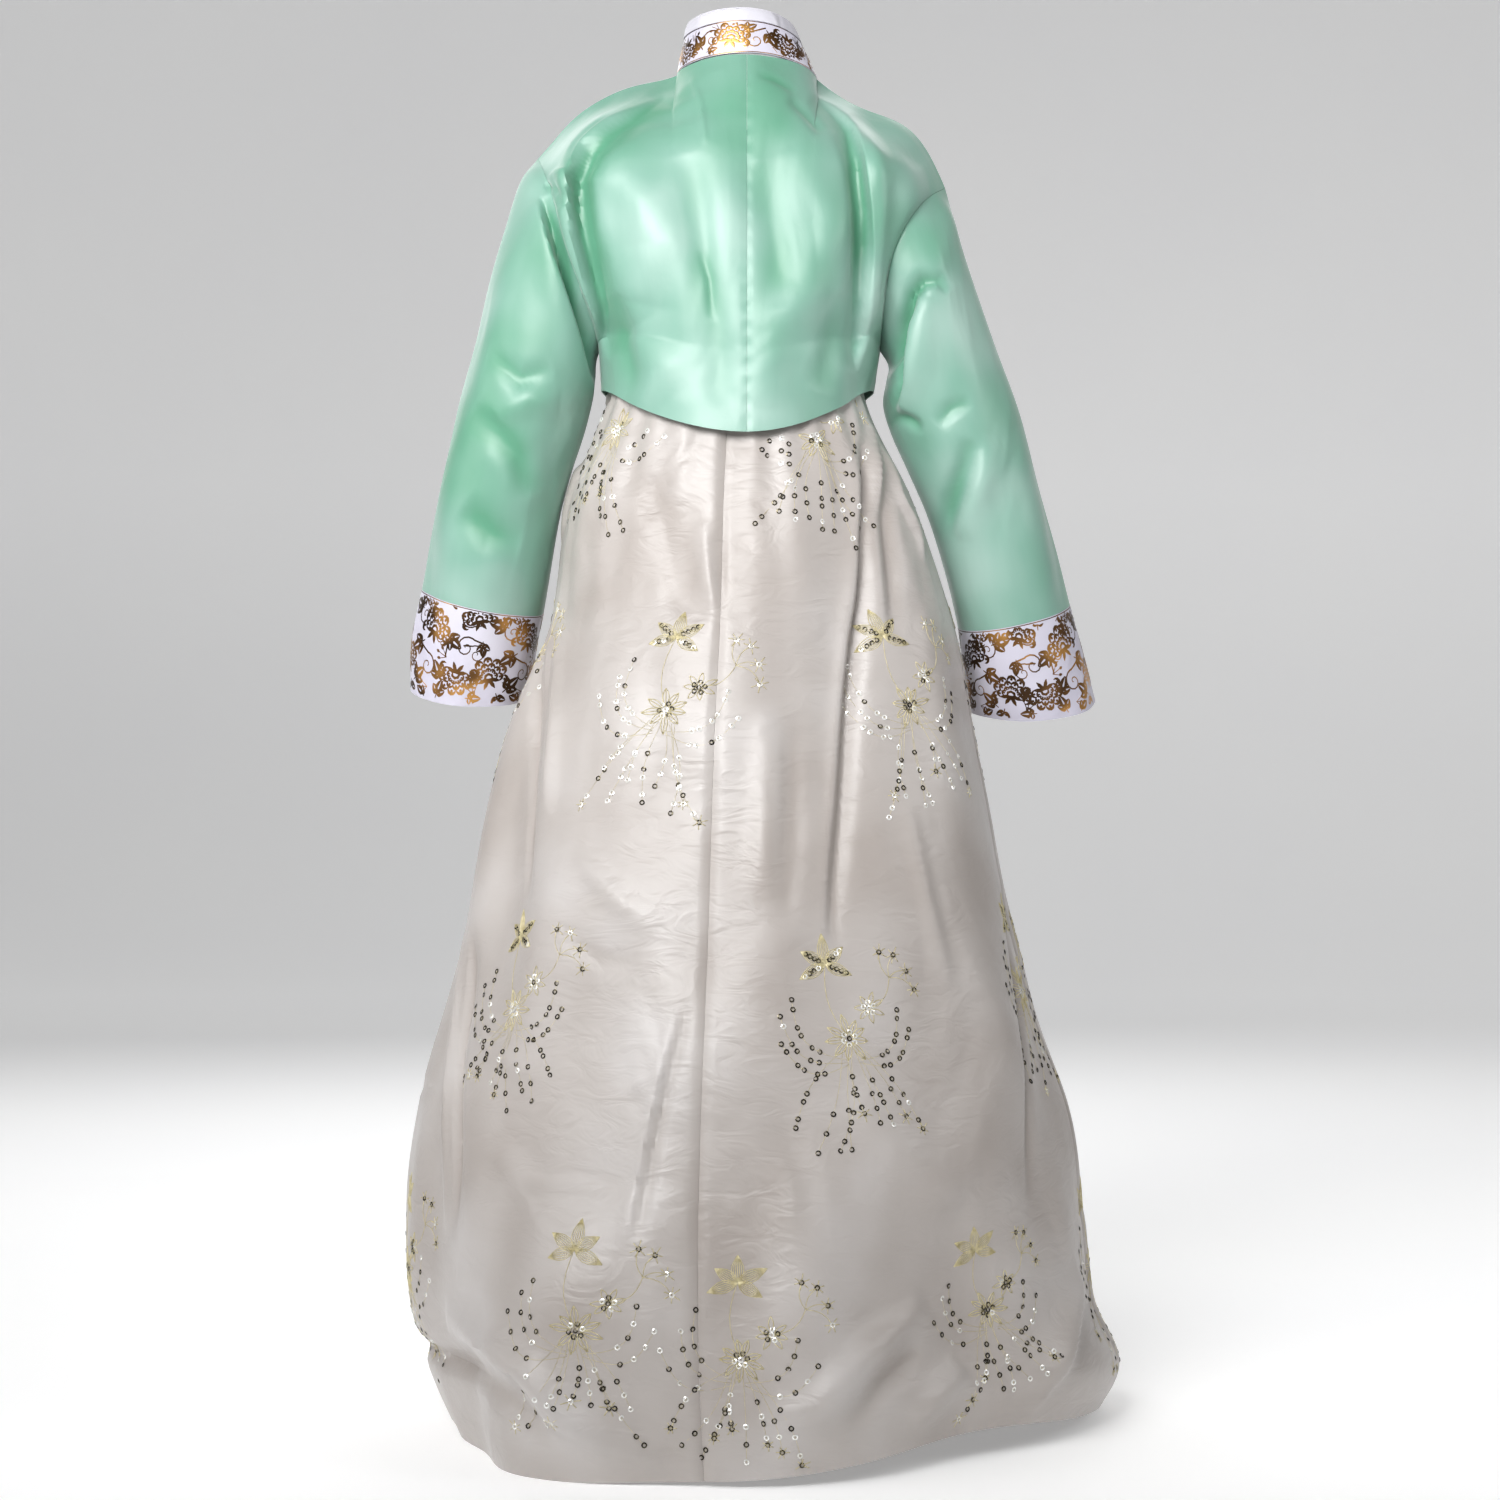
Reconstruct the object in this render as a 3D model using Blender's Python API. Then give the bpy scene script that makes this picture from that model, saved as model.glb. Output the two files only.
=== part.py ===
"""Korean hanbok for a woman, worn and filled out with no wearer: a short jacket over a long skirt.

Metres, +Z up. The front faces -Y and the wearer's left is +X. The origin is at the root of the neck, level
with the shoulder line, where the wearer's shoulders carry the jacket and the skirt's straps.
Every cloth piece is a thin wall that follows the body of a general figure, built from rows and sections.
"""

import math

import bmesh
import bpy
import numpy as np

# Colour and roughness of each cloth
FINISHES = {
    "mint_satin": ((0.30, 0.62, 0.47), 0.32),
    "gold_print": ((0.62, 0.48, 0.34), 0.45),
    "white_cloth": ((0.78, 0.77, 0.82), 0.55),
    "ivory_satin": ((0.80, 0.76, 0.70), 0.30),
}
SHARP_ANGLE = 50

# Cloth
WALL = 0.0015
COLLAR_WALL = 0.0022
SEAM_GAP = 0.0003

# Heights, above the hem unless a name says otherwise
NECK_HEIGHT = 1.325
SKIRT_TOP = 1.105
BAND_HEIGHT = 0.095

# Jacket body: places on the wearer's half at one side
NECK_BACK = 0.062
NECK_BACK_RISE = 0.013
NECK_SIDE = {"left": (0.070, 0.005), "right": (0.070, 0.001)}
SHOULDER_DOME = {"left": (0.021, 1.3), "right": (0.025, 2.2)}  # height, and how far out its top is
HEM_HALF_DEPTH = 0.138
HEM_CENTRE_Z = -0.366
HEM_SIDE_RISE = 0.054
FRONT_LIFT = 0.0072

# Grid of the jacket body
NECK_CELLS = 5
SHOULDER_CELLS = 7
ARMHOLE_CELLS = 10
SIDE_SEAM_CELLS = 3
OVERLAP_CELLS = 4

# Collar and its white edge
COLLAR_WIDTH = 0.049
COLLAR_AIM = np.array((0.027, 0.004, 0.20))
COLLAR_CHEST_CLEARANCE = 0.0012
COLLAR_BEVEL = 0.0012
COLLAR_INNER_POINTS = 15
COLLAR_BACK_POINTS = 10
COLLAR_OUTER_POINTS = 17
EDGE_STRIP_REACH = 0.0135
EDGE_STRIP_WALL = 0.0008
EDGE_STRIP_FIRST = 3
EDGE_STRIP_LAST = 5

# Skirt
PLEATS = 28
CELLS_PER_PLEAT = 4
SEAM_ANGLE = 7.5
BAND_COLUMNS = 48
PANELS = ("skirt_back_left", "skirt_front_left", "skirt_front_right", "skirt_back_right")

# Ribbons
RIBBON_WIDTH = 0.052
RIBBON_WALL = 0.0012
RIBBON_OFF_SKIRT = 0.005
RIBBON_OFF_JACKET = 0.0065
TAIL_LAYER = 0.0035
TAIL_ROWS = 15
TAIL_NARROW = 0.45

# Skirt outline: height above the hem, half widths at the wearer's left and right, half depths, pleat depth
SKIRT_COLUMNS = ("height", "left", "right", "back", "front", "pleat")
SKIRT_ROWS = (
    (0.000, 0.292, 0.344, 0.328, 0.322, 0.0),
    (0.030, 0.305, 0.360, 0.328, 0.322, 0.0),
    (0.105, 0.331, 0.338, 0.318, 0.314, 0.0),
    (0.205, 0.338, 0.331, 0.300, 0.298, 0.0),
    (0.305, 0.325, 0.319, 0.279, 0.278, 0.0),
    (0.405, 0.299, 0.286, 0.256, 0.257, 0.0),
    (0.505, 0.273, 0.260, 0.231, 0.233, 0.0),
    (0.605, 0.252, 0.242, 0.206, 0.209, 0.0),
    (0.680, 0.231, 0.225, 0.188, 0.191, 0.0),
    (0.765, 0.200, 0.211, 0.168, 0.171, 0.0002),
    (0.905, 0.174, 0.166, 0.140, 0.142, 0.0010),
    (1.005, 0.138, 0.118, 0.118, 0.118, 0.0018),
    (1.105, 0.125, 0.108, 0.104, 0.104, 0.0026),
    (1.205, 0.127, 0.112, 0.103, 0.103, 0.0000),
)
SKIRT_LEVELS = (0.0, 0.035, 0.085, 0.15, 0.24, 0.34, 0.45, 0.56, 0.67, 0.78, 0.89, 1.0, 1.105)

# Soft folds of the skirt: degrees from the centre back towards the wearer's left at the upper and lower end,
# half width in degrees, height of the ridge (minus for a trough), heights where it starts and ends
FOLD_COLUMNS = ("upper", "lower", "spread", "rise", "top", "bottom")
SKIRT_FOLDS = (
    (-34, -15, 9, -0.010, 0.98, 0.40),
    (-60, -48, 11, 0.008, 0.98, 0.30),
    (72, 50, 9, -0.009, 0.85, 0.30),
    (80, 66, 8, 0.008, 0.75, 0.25),
    (70, 60, 7, -0.010, 0.48, 0.02),
    (-77, -54, 9, -0.009, 0.52, 0.10),
    (9, 20, 9, 0.007, 0.46, 0.05),
    (30, 42, 15, 0.036, 0.26, -0.22),
    (-36, -42, 15, -0.022, 0.24, -0.24),
    (-12, -6, 10, 0.010, 0.30, -0.10),
    (-84, -84, 9, 0.010, 0.20, -0.10),
    (118, 112, 11, 0.012, 0.55, -0.10),
    (138, 134, 9, -0.010, 0.80, -0.05),
    (158, 160, 12, 0.012, 0.60, -0.20),
    (183, 186, 11, -0.010, 0.88, -0.10),
    (206, 210, 12, 0.011, 0.75, -0.15),
    (228, 232, 10, -0.011, 0.86, -0.10),
    (250, 253, 10, 0.011, 0.65, -0.15),
)

# How far the skirt's hem is off the ground: degrees from the centre back towards the wearer's left, height
HEM_LIFT_COLUMNS = ("degrees", "lift")
HEM_LIFT_ROWS = (
    (-180, 0.000),
    (-110, 0.004),
    (-75, 0.012),
    (-43, 0.027),
    (-26, 0.021),
    (0, 0.005),
    (20, 0.000),
    (180, 0.000),
)
HEM_LIFT_FADE = 0.24

# Jacket centre back: share of the way down, half depth, height
CENTRE_BACK_COLUMNS = ("down", "y", "z")
CENTRE_BACK_ROWS = (
    (0.00, 0.062, 0.012),
    (0.12, 0.086, -0.034),
    (0.30, 0.110, -0.105),
    (0.55, 0.125, -0.205),
    (0.80, 0.132, -0.292),
    (1.00, 0.138, -0.366),
)

# Half depth of the jacket's body at the back and the front, by height
TORSO_COLUMNS = ("z", "back", "front")
TORSO_ROWS = (
    (-0.366, 0.138, 0.138),
    (-0.292, 0.134, 0.137),
    (-0.205, 0.128, 0.133),
    (-0.160, 0.121, 0.124),
    (-0.120, 0.112, 0.112),
    (-0.070, 0.099, 0.089),
    (-0.030, 0.083, 0.066),
    (0.012, 0.066, 0.050),
)
ROUNDED_FROM = 0.30  # share of the way down where the cross-section is fully round
LIFT_FADE_END = 0.100
LIFT_FADE_WIDTH = 0.055

# The deep fold between the back and each sleeve: height, distances from the centre at the wearer's left and right
FOLD_LINE_COLUMNS = ("z", "left", "right")
FOLD_LINE_ROWS = (
    (-0.345, 0.128, 0.103),
    (-0.303, 0.133, 0.106),
    (-0.265, 0.138, 0.110),
    (-0.220, 0.148, 0.114),
    (-0.180, 0.160, 0.117),
    (-0.140, 0.166, 0.1165),
    (-0.100, 0.169, 0.112),
    (-0.075, 0.157, 0.107),
    (-0.050, 0.131, 0.100),
    (-0.030, 0.105, 0.085),
    (-0.010, 0.075, 0.062),
)
FOLD_RIDGE = 0.004
FOLD_TROUGH = 0.008
FOLD_SPREAD = 0.013
FOLD_RIDGE_OUT = 0.018

# Armhole and side seam, from the shoulder point to the hem: share of the way down, distances from the centre
# at the wearer's left and right, half depths, heights
EDGE_COLUMNS = ("down", "left", "right", "left_y", "right_y", "left_z", "right_z")
EDGE_ROWS = (
    (0.00, 0.209, 0.198, 0.000, 0.000, -0.078, -0.108),
    (0.14, 0.200, 0.182, 0.036, 0.038, -0.101, -0.123),
    (0.36, 0.183, 0.154, 0.061, 0.064, -0.154, -0.158),
    (0.58, 0.163, 0.137, 0.054, 0.056, -0.212, -0.205),
    (0.72, 0.150, 0.133, 0.028, 0.029, -0.254, -0.252),
    (0.78, 0.147, 0.132, 0.000, 0.000, -0.268, -0.268),
    (1.00, 0.144, 0.124, 0.000, 0.000, -0.312, -0.305),
)

# Sleeves: one row per ring from the armhole down to the cuff seam and the cuff's edge. The outer and inner
# points are in the front view, then come the ring's centre depth, half depth, and the drop of its back side.
SLEEVE_COLUMNS = ("outer_x", "outer_z", "inner_x", "inner_z", "centre_y", "half_depth", "back_drop")
LEFT_SLEEVE_ROWS = (
    (0.223, -0.100, 0.151, -0.282, 0.000, 0.064, 0.000),
    (0.240, -0.150, 0.152, -0.300, 0.001, 0.067, 0.002),
    (0.256, -0.205, 0.155, -0.324, 0.001, 0.068, 0.004),
    (0.273, -0.270, 0.162, -0.352, -0.002, 0.068, 0.006),
    (0.290, -0.335, 0.174, -0.388, -0.007, 0.068, 0.007),
    (0.306, -0.400, 0.185, -0.430, -0.014, 0.068, 0.008),
    (0.318, -0.458, 0.196, -0.481, -0.026, 0.069, 0.010),
    (0.327, -0.507, 0.205, -0.531, -0.041, 0.069, 0.012),
)
LEFT_CUFF_ROWS = (
    (0.327, -0.507, 0.205, -0.531, -0.041, 0.069, 0.012),
    (0.338, -0.556, 0.213, -0.571, -0.057, 0.068, 0.015),
    (0.344, -0.604, 0.220, -0.611, -0.073, 0.066, 0.019),
)
RIGHT_SLEEVE_ROWS = (
    (0.206, -0.136, 0.142, -0.286, 0.000, 0.068, 0.000),
    (0.216, -0.172, 0.140, -0.304, 0.001, 0.069, 0.002),
    (0.229, -0.214, 0.138, -0.326, 0.001, 0.069, 0.004),
    (0.248, -0.270, 0.146, -0.354, -0.002, 0.068, 0.006),
    (0.273, -0.335, 0.162, -0.390, -0.007, 0.068, 0.007),
    (0.294, -0.405, 0.182, -0.436, -0.014, 0.068, 0.008),
    (0.312, -0.466, 0.200, -0.492, -0.026, 0.069, 0.010),
    (0.327, -0.522, 0.214, -0.546, -0.041, 0.069, 0.012),
)
RIGHT_CUFF_ROWS = (
    (0.327, -0.522, 0.214, -0.546, -0.041, 0.069, 0.012),
    (0.343, -0.572, 0.220, -0.588, -0.057, 0.068, 0.015),
    (0.356, -0.619, 0.226, -0.627, -0.074, 0.066, 0.018),
)

# Neckline on the wearer's left, from the side of the neck down to the collar's end past the centre front
NECKLINE_COLUMNS = ("along", "x", "y", "z")
NECKLINE_ROWS = (
    (0.00, 0.068, 0.000, 0.000),
    (0.22, 0.060, -0.044, -0.026),
    (0.44, 0.037, -0.086, -0.070),
    (0.68, 0.000, -0.111, -0.120),
    (1.00, -0.046, -0.126, -0.180),
)
NECKLINE_CENTRE = 0.68
INNER_NECKLINE_END = 0.86
OUTER_OVERLAP_ANGLE = -30
INNER_OVERLAP_ANGLE = -12

# Shoulder straps of the skirt: the place beside the neck, and where a strap meets the band
STRAP_COLUMN = NECK_CELLS + 1
STRAP_ROWS_DOWN = 4
STRAP_CLEARANCE_TOP = 0.0028
STRAP_CLEARANCE_DOWN = 0.0055
STRAP_FOOT = {"left": (0.066, 0.0868, -0.1240), "right": (0.060, 0.0850, -0.1240)}
STRAP_WIDTH = 0.034
STRAP_POINTS = 17

# Bow: centre and half sizes of the knot, how far the loop reaches and drops, and the knot's rings
# (height from -1 to 1, share of the full size)
KNOT_CENTRE = np.array((-0.030, -0.1488, -0.196))
KNOT_HALF_WIDTH = 0.017
KNOT_HALF_HEIGHT = 0.024
KNOT_HALF_DEPTH = 0.0085
LOOP_LENGTH = 0.105
LOOP_DROP = 0.030
LOOP_HALF_DEPTH = 0.006
LOOP_COLUMNS = 28
LOOP_NARROW = 0.5
KNOT_COLUMNS = 16
KNOT_ROWS = ((1.0, 0.72), (0.8, 0.95), (0.3, 1.0), (-0.3, 1.0), (-0.8, 0.95), (-1.0, 0.72))

# Ribbon tails: distance from the centre at the knot and at the end, height of the end
LONG_TAIL = (-0.030, -0.028, -0.700)
SHORT_TAIL = (-0.034, -0.090, -0.600)


def eased(x):
    """0 below 0, 1 above 1, with a soft start and end between them."""
    x = np.clip(x, 0.0, 1.0)
    return x * x * (3 - 2 * x)


def read(rows, columns, key, name, at):
    """Column name of a table at the given places of column key, along a smooth curve through its rows."""
    table = np.array(rows, float)
    x = table[:, columns.index(key)]
    y = table[:, columns.index(name)]
    slopes = np.gradient(y, x)
    steps = np.diff(x)
    at = np.clip(np.asarray(at, float), x.min(), x.max())
    i = np.clip(np.searchsorted(x, at, side="right") - 1, 0, len(x) - 2)
    t = (at - x[i]) / steps[i]
    low = (1 + 2 * t) * (1 - t) ** 2 * y[i] + t * (1 - t) ** 2 * steps[i] * slopes[i]
    return low + t * t * (3 - 2 * t) * y[i + 1] + t * t * (t - 1) * steps[i] * slopes[i + 1]


def through(rows, count):
    """Evenly spaced parameters along a smooth curve through rows of points."""
    rows = np.array(rows, float)
    keys = np.linspace(0, 1, len(rows))
    at = np.linspace(0, 1, count)
    numbered = np.column_stack([keys, rows])
    names = ("key",) + tuple(range(rows.shape[1]))
    return np.stack([read(numbered, names, "key", n, at) for n in names[1:]], axis=-1)


def unit(vectors):
    return vectors / np.maximum(np.linalg.norm(vectors, axis=-1, keepdims=True), 1e-12)


def grid_normals(points, ring=False):
    """Unit normals of a grid of rows and columns. The columns of a ring join up."""
    if ring:
        across = np.roll(points, -1, axis=1) - np.roll(points, 1, axis=1)
    else:
        across = np.gradient(points, axis=1)
    down = np.gradient(points, axis=0)
    return unit(np.cross(down, across))


def make_material(name, colour, roughness):
    material = bpy.data.materials.new(name)
    material.use_nodes = True
    shader = material.node_tree.nodes["Principled BSDF"]
    shader.inputs["Base Color"].default_value = (*colour, 1.0)
    shader.inputs["Roughness"].default_value = roughness
    return material


def make_object(name, corners, faces, finish):
    mesh = bpy.data.meshes.new(name)
    mesh.from_pydata([tuple(map(float, c)) for c in corners], [], faces)
    shape = bmesh.new()
    shape.from_mesh(mesh)
    bmesh.ops.recalc_face_normals(shape, faces=shape.faces)
    shape.to_mesh(mesh)
    shape.free()
    mesh.materials.append(make_material(f"{name}_{finish}", *FINISHES[finish]))
    mesh.shade_smooth()
    mesh.set_sharp_from_angle(angle=math.radians(SHARP_ANGLE))
    obj = bpy.data.objects.new(name, mesh)
    bpy.context.scene.collection.objects.link(obj)


def make_wall(name, outer, inner, finish, ring=False):
    """A closed wall between two grids of points. The outer grid's normals point out of the cloth."""
    rows, columns = outer.shape[:2]
    corners = np.concatenate([outer.reshape(-1, 3), inner.reshape(-1, 3)])
    half = rows * columns
    spans = columns if ring else columns - 1
    faces = []
    for r in range(rows - 1):
        for c in range(spans):
            a = r * columns + c
            b = r * columns + (c + 1) % columns
            faces.append((a, a + columns, b + columns, b))
            faces.append((half + a, half + b, half + b + columns, half + a + columns))
    for c in range(spans):
        d = (c + 1) % columns
        last = (rows - 1) * columns
        faces.append((c, d, half + d, half + c))
        faces.append((last + d, last + c, half + last + c, half + last + d))
    if not ring:
        for r in range(rows - 1):
            a = r * columns
            b = a + columns
            faces.append((b, a, half + a, half + b))
            faces.append((a + columns - 1, b + columns - 1, half + b + columns - 1, half + a + columns - 1))
    make_object(name, corners, faces, finish)


def trimmed(grid, start=SEAM_GAP / 2, end=SEAM_GAP / 2):
    """The grid with its first and last columns drawn in, by half a seam gap unless said."""
    grid = grid.copy()
    grid[:, 0] += unit(grid[:, 1] - grid[:, 0]) * start
    grid[:, -1] += unit(grid[:, -2] - grid[:, -1]) * end
    return grid


def trimmed_rows(grid, start=SEAM_GAP / 2, end=SEAM_GAP / 2):
    return trimmed(grid.transpose(1, 0, 2), start, end).transpose(1, 0, 2)


def coons(top, bottom, left, right):
    """The grid that joins four edge curves: top and bottom run across, left and right run down."""
    u = np.linspace(0, 1, len(top))[None, :, None]
    v = np.linspace(0, 1, len(left))[:, None, None]
    across = (1 - u) * left[:, None] + u * right[:, None]
    down = (1 - v) * top[None] + v * bottom[None]
    corners = (1 - v) * ((1 - u) * top[0] + u * top[-1]) + v * ((1 - u) * bottom[0] + u * bottom[-1])
    return across + down - corners


def side_sign(side):
    return 1.0 if side == "left" else -1.0


def armhole_edge(side, face, shares):
    """The panel's outer edge, armhole then side seam. face is 1 on the back and -1 on the front."""
    x = read(EDGE_ROWS, EDGE_COLUMNS, "down", side, shares) * side_sign(side)
    y = read(EDGE_ROWS, EDGE_COLUMNS, "down", f"{side}_y", shares) * face
    z = read(EDGE_ROWS, EDGE_COLUMNS, "down", f"{side}_z", shares)
    return np.stack([x, y, z], axis=-1)


def neck_curve(side, angles):
    """The back of the neckline. Angles in degrees from the centre back."""
    a = np.radians(angles)
    wide, low = NECK_SIDE[side]
    x = side_sign(side) * wide * np.sin(a)
    return np.stack([x, NECK_BACK * np.cos(a), low + (NECK_BACK_RISE - low) * np.cos(a) ** 2], axis=-1)


def shoulder_line(side, count):
    """From the side of the neck to the shoulder point, slightly domed."""
    start = neck_curve(side, np.array([90.0]))[0]
    tip = armhole_edge(side, 1, np.array([0.0]))[0]
    t = np.linspace(0, 1, count)[:, None]
    height, lean = SHOULDER_DOME[side]
    dome = np.array((0.0, 0.0, height)) * np.sin(math.pi * t**lean)
    return start + (tip - start) * t + dome


def hem_line(side, face, angles):
    half_width = abs(armhole_edge(side, 1, np.array([1.0]))[0, 0])
    a = np.radians(angles)
    x = side_sign(side) * half_width * np.sin(a)
    y = face * HEM_HALF_DEPTH * np.cos(a)
    z = HEM_CENTRE_Z + HEM_SIDE_RISE * np.sin(a) ** 2
    return np.stack([x, y, z], axis=-1)


def down_shares():
    """Rows of the jacket body: the armhole's cells, then the side seam's."""
    armhole = np.linspace(0, 0.78, ARMHOLE_CELLS + 1)
    seam = np.linspace(0.78, 1.0, SIDE_SEAM_CELLS + 1)[1:]
    return np.concatenate([armhole, seam])


def rounded(grid, side, face, lift):
    """The grid with its depth taken from the figure's round cross-section, below the shoulders."""
    shares = down_shares()
    edge = armhole_edge(side, face, shares)
    depth = torso_depth(grid[..., 2], face)
    out_to = np.abs(edge[:, 0])[:, None]
    x = grid[..., 0] * side_sign(side)
    part = np.sqrt(np.clip(1 - (x / out_to) ** 2, 0, 1))
    y = np.abs(edge[:, 1])[:, None] + (depth - np.abs(edge[:, 1])[:, None]) * part
    y = y + lift * eased((LIFT_FADE_END - x) / LIFT_FADE_WIDTH)
    share = eased(shares / ROUNDED_FROM)[:, None]
    result = grid.copy()
    result[..., 1] = grid[..., 1] * (1 - share) + face * y * share
    return result


def torso_depth(z, face):
    """Half depth of the jacket's body at a height, at the back if face is 1 and the front if it is -1."""
    return read(TORSO_ROWS, TORSO_COLUMNS, "z", "back" if face > 0 else "front", z)


def folded(grid, side):
    """The back with the ridge and trough that run from beside the neck down to under the arm."""
    line = read(FOLD_LINE_ROWS, FOLD_LINE_COLUMNS, "z", side, grid[..., 2])
    off = grid[..., 0] * side_sign(side) - line
    rise = FOLD_RIDGE * np.exp(-(((off - FOLD_RIDGE_OUT) / FOLD_SPREAD) ** 2))
    rise -= FOLD_TROUGH * np.exp(-((off / FOLD_SPREAD) ** 2))
    down = np.linspace(0, 1, grid.shape[0])[:, None]
    across = np.linspace(0, 1, grid.shape[1])[None]
    rise = rise * eased(down * 5) * eased((1 - down) * 3.0) * eased((1 - across) * 6)
    result = grid.copy()
    result[..., 1] += rise
    return result


def back_half(side):
    neck = neck_curve(side, np.linspace(0, 90, NECK_CELLS + 1))
    top = np.concatenate([neck, shoulder_line(side, SHOULDER_CELLS + 1)[1:]])
    shares = down_shares()
    centre = np.stack(
        [
            np.zeros(len(shares)),
            read(CENTRE_BACK_ROWS, CENTRE_BACK_COLUMNS, "down", "y", shares),
            read(CENTRE_BACK_ROWS, CENTRE_BACK_COLUMNS, "down", "z", shares),
        ],
        axis=-1,
    )
    hem = hem_line(side, 1, np.linspace(0, 90, len(top)))
    edge = armhole_edge(side, 1, shares)
    hem[-1] = edge[-1]
    return folded(rounded(coons(top, hem, centre, edge), side, 1, 0.0), side)


def neckline(side, at, lift):
    """Points of the neckline seam on one front, lifted off the chest near the centre where fronts overlap."""
    s = side_sign(side)
    points = np.stack(
        [read(NECKLINE_ROWS, NECKLINE_COLUMNS, "along", n, at) for n in NECKLINE_COLUMNS[1:]], axis=-1
    )
    wide, low = NECK_SIDE[side]
    near = 1 - eased(np.asarray(at) / 0.5)
    points[:, 0] += (wide - NECKLINE_ROWS[0][1]) * near
    points[:, 2] += low * near
    points = points * np.array((s, 1.0, 1.0))
    out = unit(points * np.array((1.0, 1.0, 0.0)) + np.array((0.0, -0.02, 0.006)))
    return points + out * (lift * eased((np.asarray(at) - 0.12) / 0.22))[:, None]


def front_half(side, end, overlap_angle, lift):
    """One front with its overlap past the centre. end is where on the neckline the overlap's edge starts."""
    past = np.linspace(end, NECKLINE_CENTRE, OVERLAP_CELLS + 1)
    rise = np.linspace(NECKLINE_CENTRE, 0, NECK_CELLS + 1)[1:]
    neck = neckline(side, np.concatenate([past, rise]), lift)
    top = np.concatenate([neck, shoulder_line(side, SHOULDER_CELLS + 1)[1:]])
    shares = down_shares()
    past_angles = np.linspace(overlap_angle, 0, OVERLAP_CELLS + 1)
    angles = np.concatenate([past_angles, np.linspace(0, 90, NECK_CELLS + SHOULDER_CELLS + 1)[1:]])
    hem = hem_line(side, -1, angles)
    edge = armhole_edge(side, -1, shares)
    hem[-1] = edge[-1]
    t = shares[:, None]
    free_edge = top[0] * (1 - t) + hem[0] * t
    return rounded(coons(top, hem, free_edge, edge), side, -1, lift)


def sleeve_ring(side, row, count):
    """One ring of a sleeve. It starts at the top, and runs over the back to the underside."""
    value = dict(zip(SLEEVE_COLUMNS, row))
    a = np.linspace(0, 2 * math.pi, count, endpoint=False)
    s = side_sign(side)
    outer = np.array((s * value["outer_x"], value["outer_z"]))
    inner = np.array((s * value["inner_x"], value["inner_z"]))
    middle = (outer + inner) / 2
    flat = middle + (outer - middle) * np.cos(a)[:, None]
    y = value["centre_y"] + value["half_depth"] * np.sin(a)
    z = flat[:, 1] - value["back_drop"] * np.sin(a)
    return np.stack([flat[:, 0], y, z], axis=-1)


def armhole_ring(side):
    shares = down_shares()[: ARMHOLE_CELLS + 1]
    back = armhole_edge(side, 1, shares)
    front = armhole_edge(side, -1, shares)
    back[0, 1] = front[0, 1] = 0.0
    ring = np.concatenate([back, front[-2:0:-1]])
    ring[ARMHOLE_CELLS, 1] = 0.0
    return ring


def sleeve_grids(side, rows, cuff_rows):
    """The sleeve's rings from the armhole down to the cuff seam, and the cuff's."""
    count = 2 * ARMHOLE_CELLS
    rings = [armhole_ring(side)] + [sleeve_ring(side, row, count) for row in rows]
    sleeve = np.array(rings)
    cuff = np.array([sleeve_ring(side, row, count) for row in cuff_rows])
    return sleeve, cuff


def chest_depth(x, z):
    """Half depth of the jacket's front at a distance from the centre and a height."""
    by_height = EDGE_ROWS[::-1]
    half = read(by_height, EDGE_COLUMNS, "left_z", "left", z)
    edge = read(by_height, EDGE_COLUMNS, "left_z", "left_y", z)
    part = np.sqrt(np.clip(1 - (x / half) ** 2, 0, 1))
    return edge + (torso_depth(z, -1) - edge) * part


def front_collar(side, at, lift):
    """Seam points of the collar on one front, and the band's way across: standing at the neck, flat on the chest."""
    seam = neckline(side, at, lift)
    along = unit(np.gradient(seam, axis=0))
    across = COLLAR_AIM - seam
    across = unit(across - along * (across * along).sum(1)[:, None])
    reach = seam + across * COLLAR_WIDTH
    flat = reach.copy()
    flat[:, 1] = -(chest_depth(flat[:, 0], flat[:, 2]) + lift + COLLAR_CHEST_CLEARANCE)
    share = eased((at - 0.15) / 0.40)[:, None]
    across = unit(reach * (1 - share) + flat * share - seam)
    return seam, across


def collar_frames():
    """Seam points from the inner end round the neck to the outer end, the way across the band and the way out."""
    inner, inner_across = front_collar("right", np.linspace(INNER_NECKLINE_END, 0.0, COLLAR_INNER_POINTS), 0.0)
    right_back = neck_curve("right", np.linspace(90, 0, COLLAR_BACK_POINTS)[1:])
    left_back = neck_curve("left", np.linspace(0, 90, COLLAR_BACK_POINTS)[1:-1])
    back = np.concatenate([right_back, left_back])
    outer, outer_across = front_collar("left", np.linspace(0.0, 1.0, COLLAR_OUTER_POINTS), FRONT_LIFT)
    path = np.concatenate([inner, back, outer])
    across = np.concatenate([inner_across, COLLAR_AIM - back, outer_across])
    along = unit(np.gradient(path, axis=0))
    across = unit(across - along * (across * along).sum(1)[:, None])
    out = np.cross(along, across)
    away = path * np.array((1.0, 1.0, 0.0))
    out = out * np.sign((out * away).sum(1))[:, None]
    return path, across, out


def swept(name, frames, section, finish):
    """A closed solid: a section of (across, out) places carried along the frames, with flat ends."""
    path, across, out = frames
    section = np.array(section)
    rings = path[:, None] + across[:, None] * section[None, :, :1] + out[:, None] * section[None, :, 1:]
    count = len(section)
    faces = []
    for r in range(len(path) - 1):
        for c in range(count):
            a = r * count + c
            b = r * count + (c + 1) % count
            faces.append((a, b, b + count))
            faces.append((a, b + count, a + count))
    last = (len(path) - 1) * count
    faces.append(tuple(reversed(range(count))))
    faces.append(tuple(last + c for c in range(count)))
    make_object(name, rings.reshape(-1, 3), faces, finish)


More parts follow.
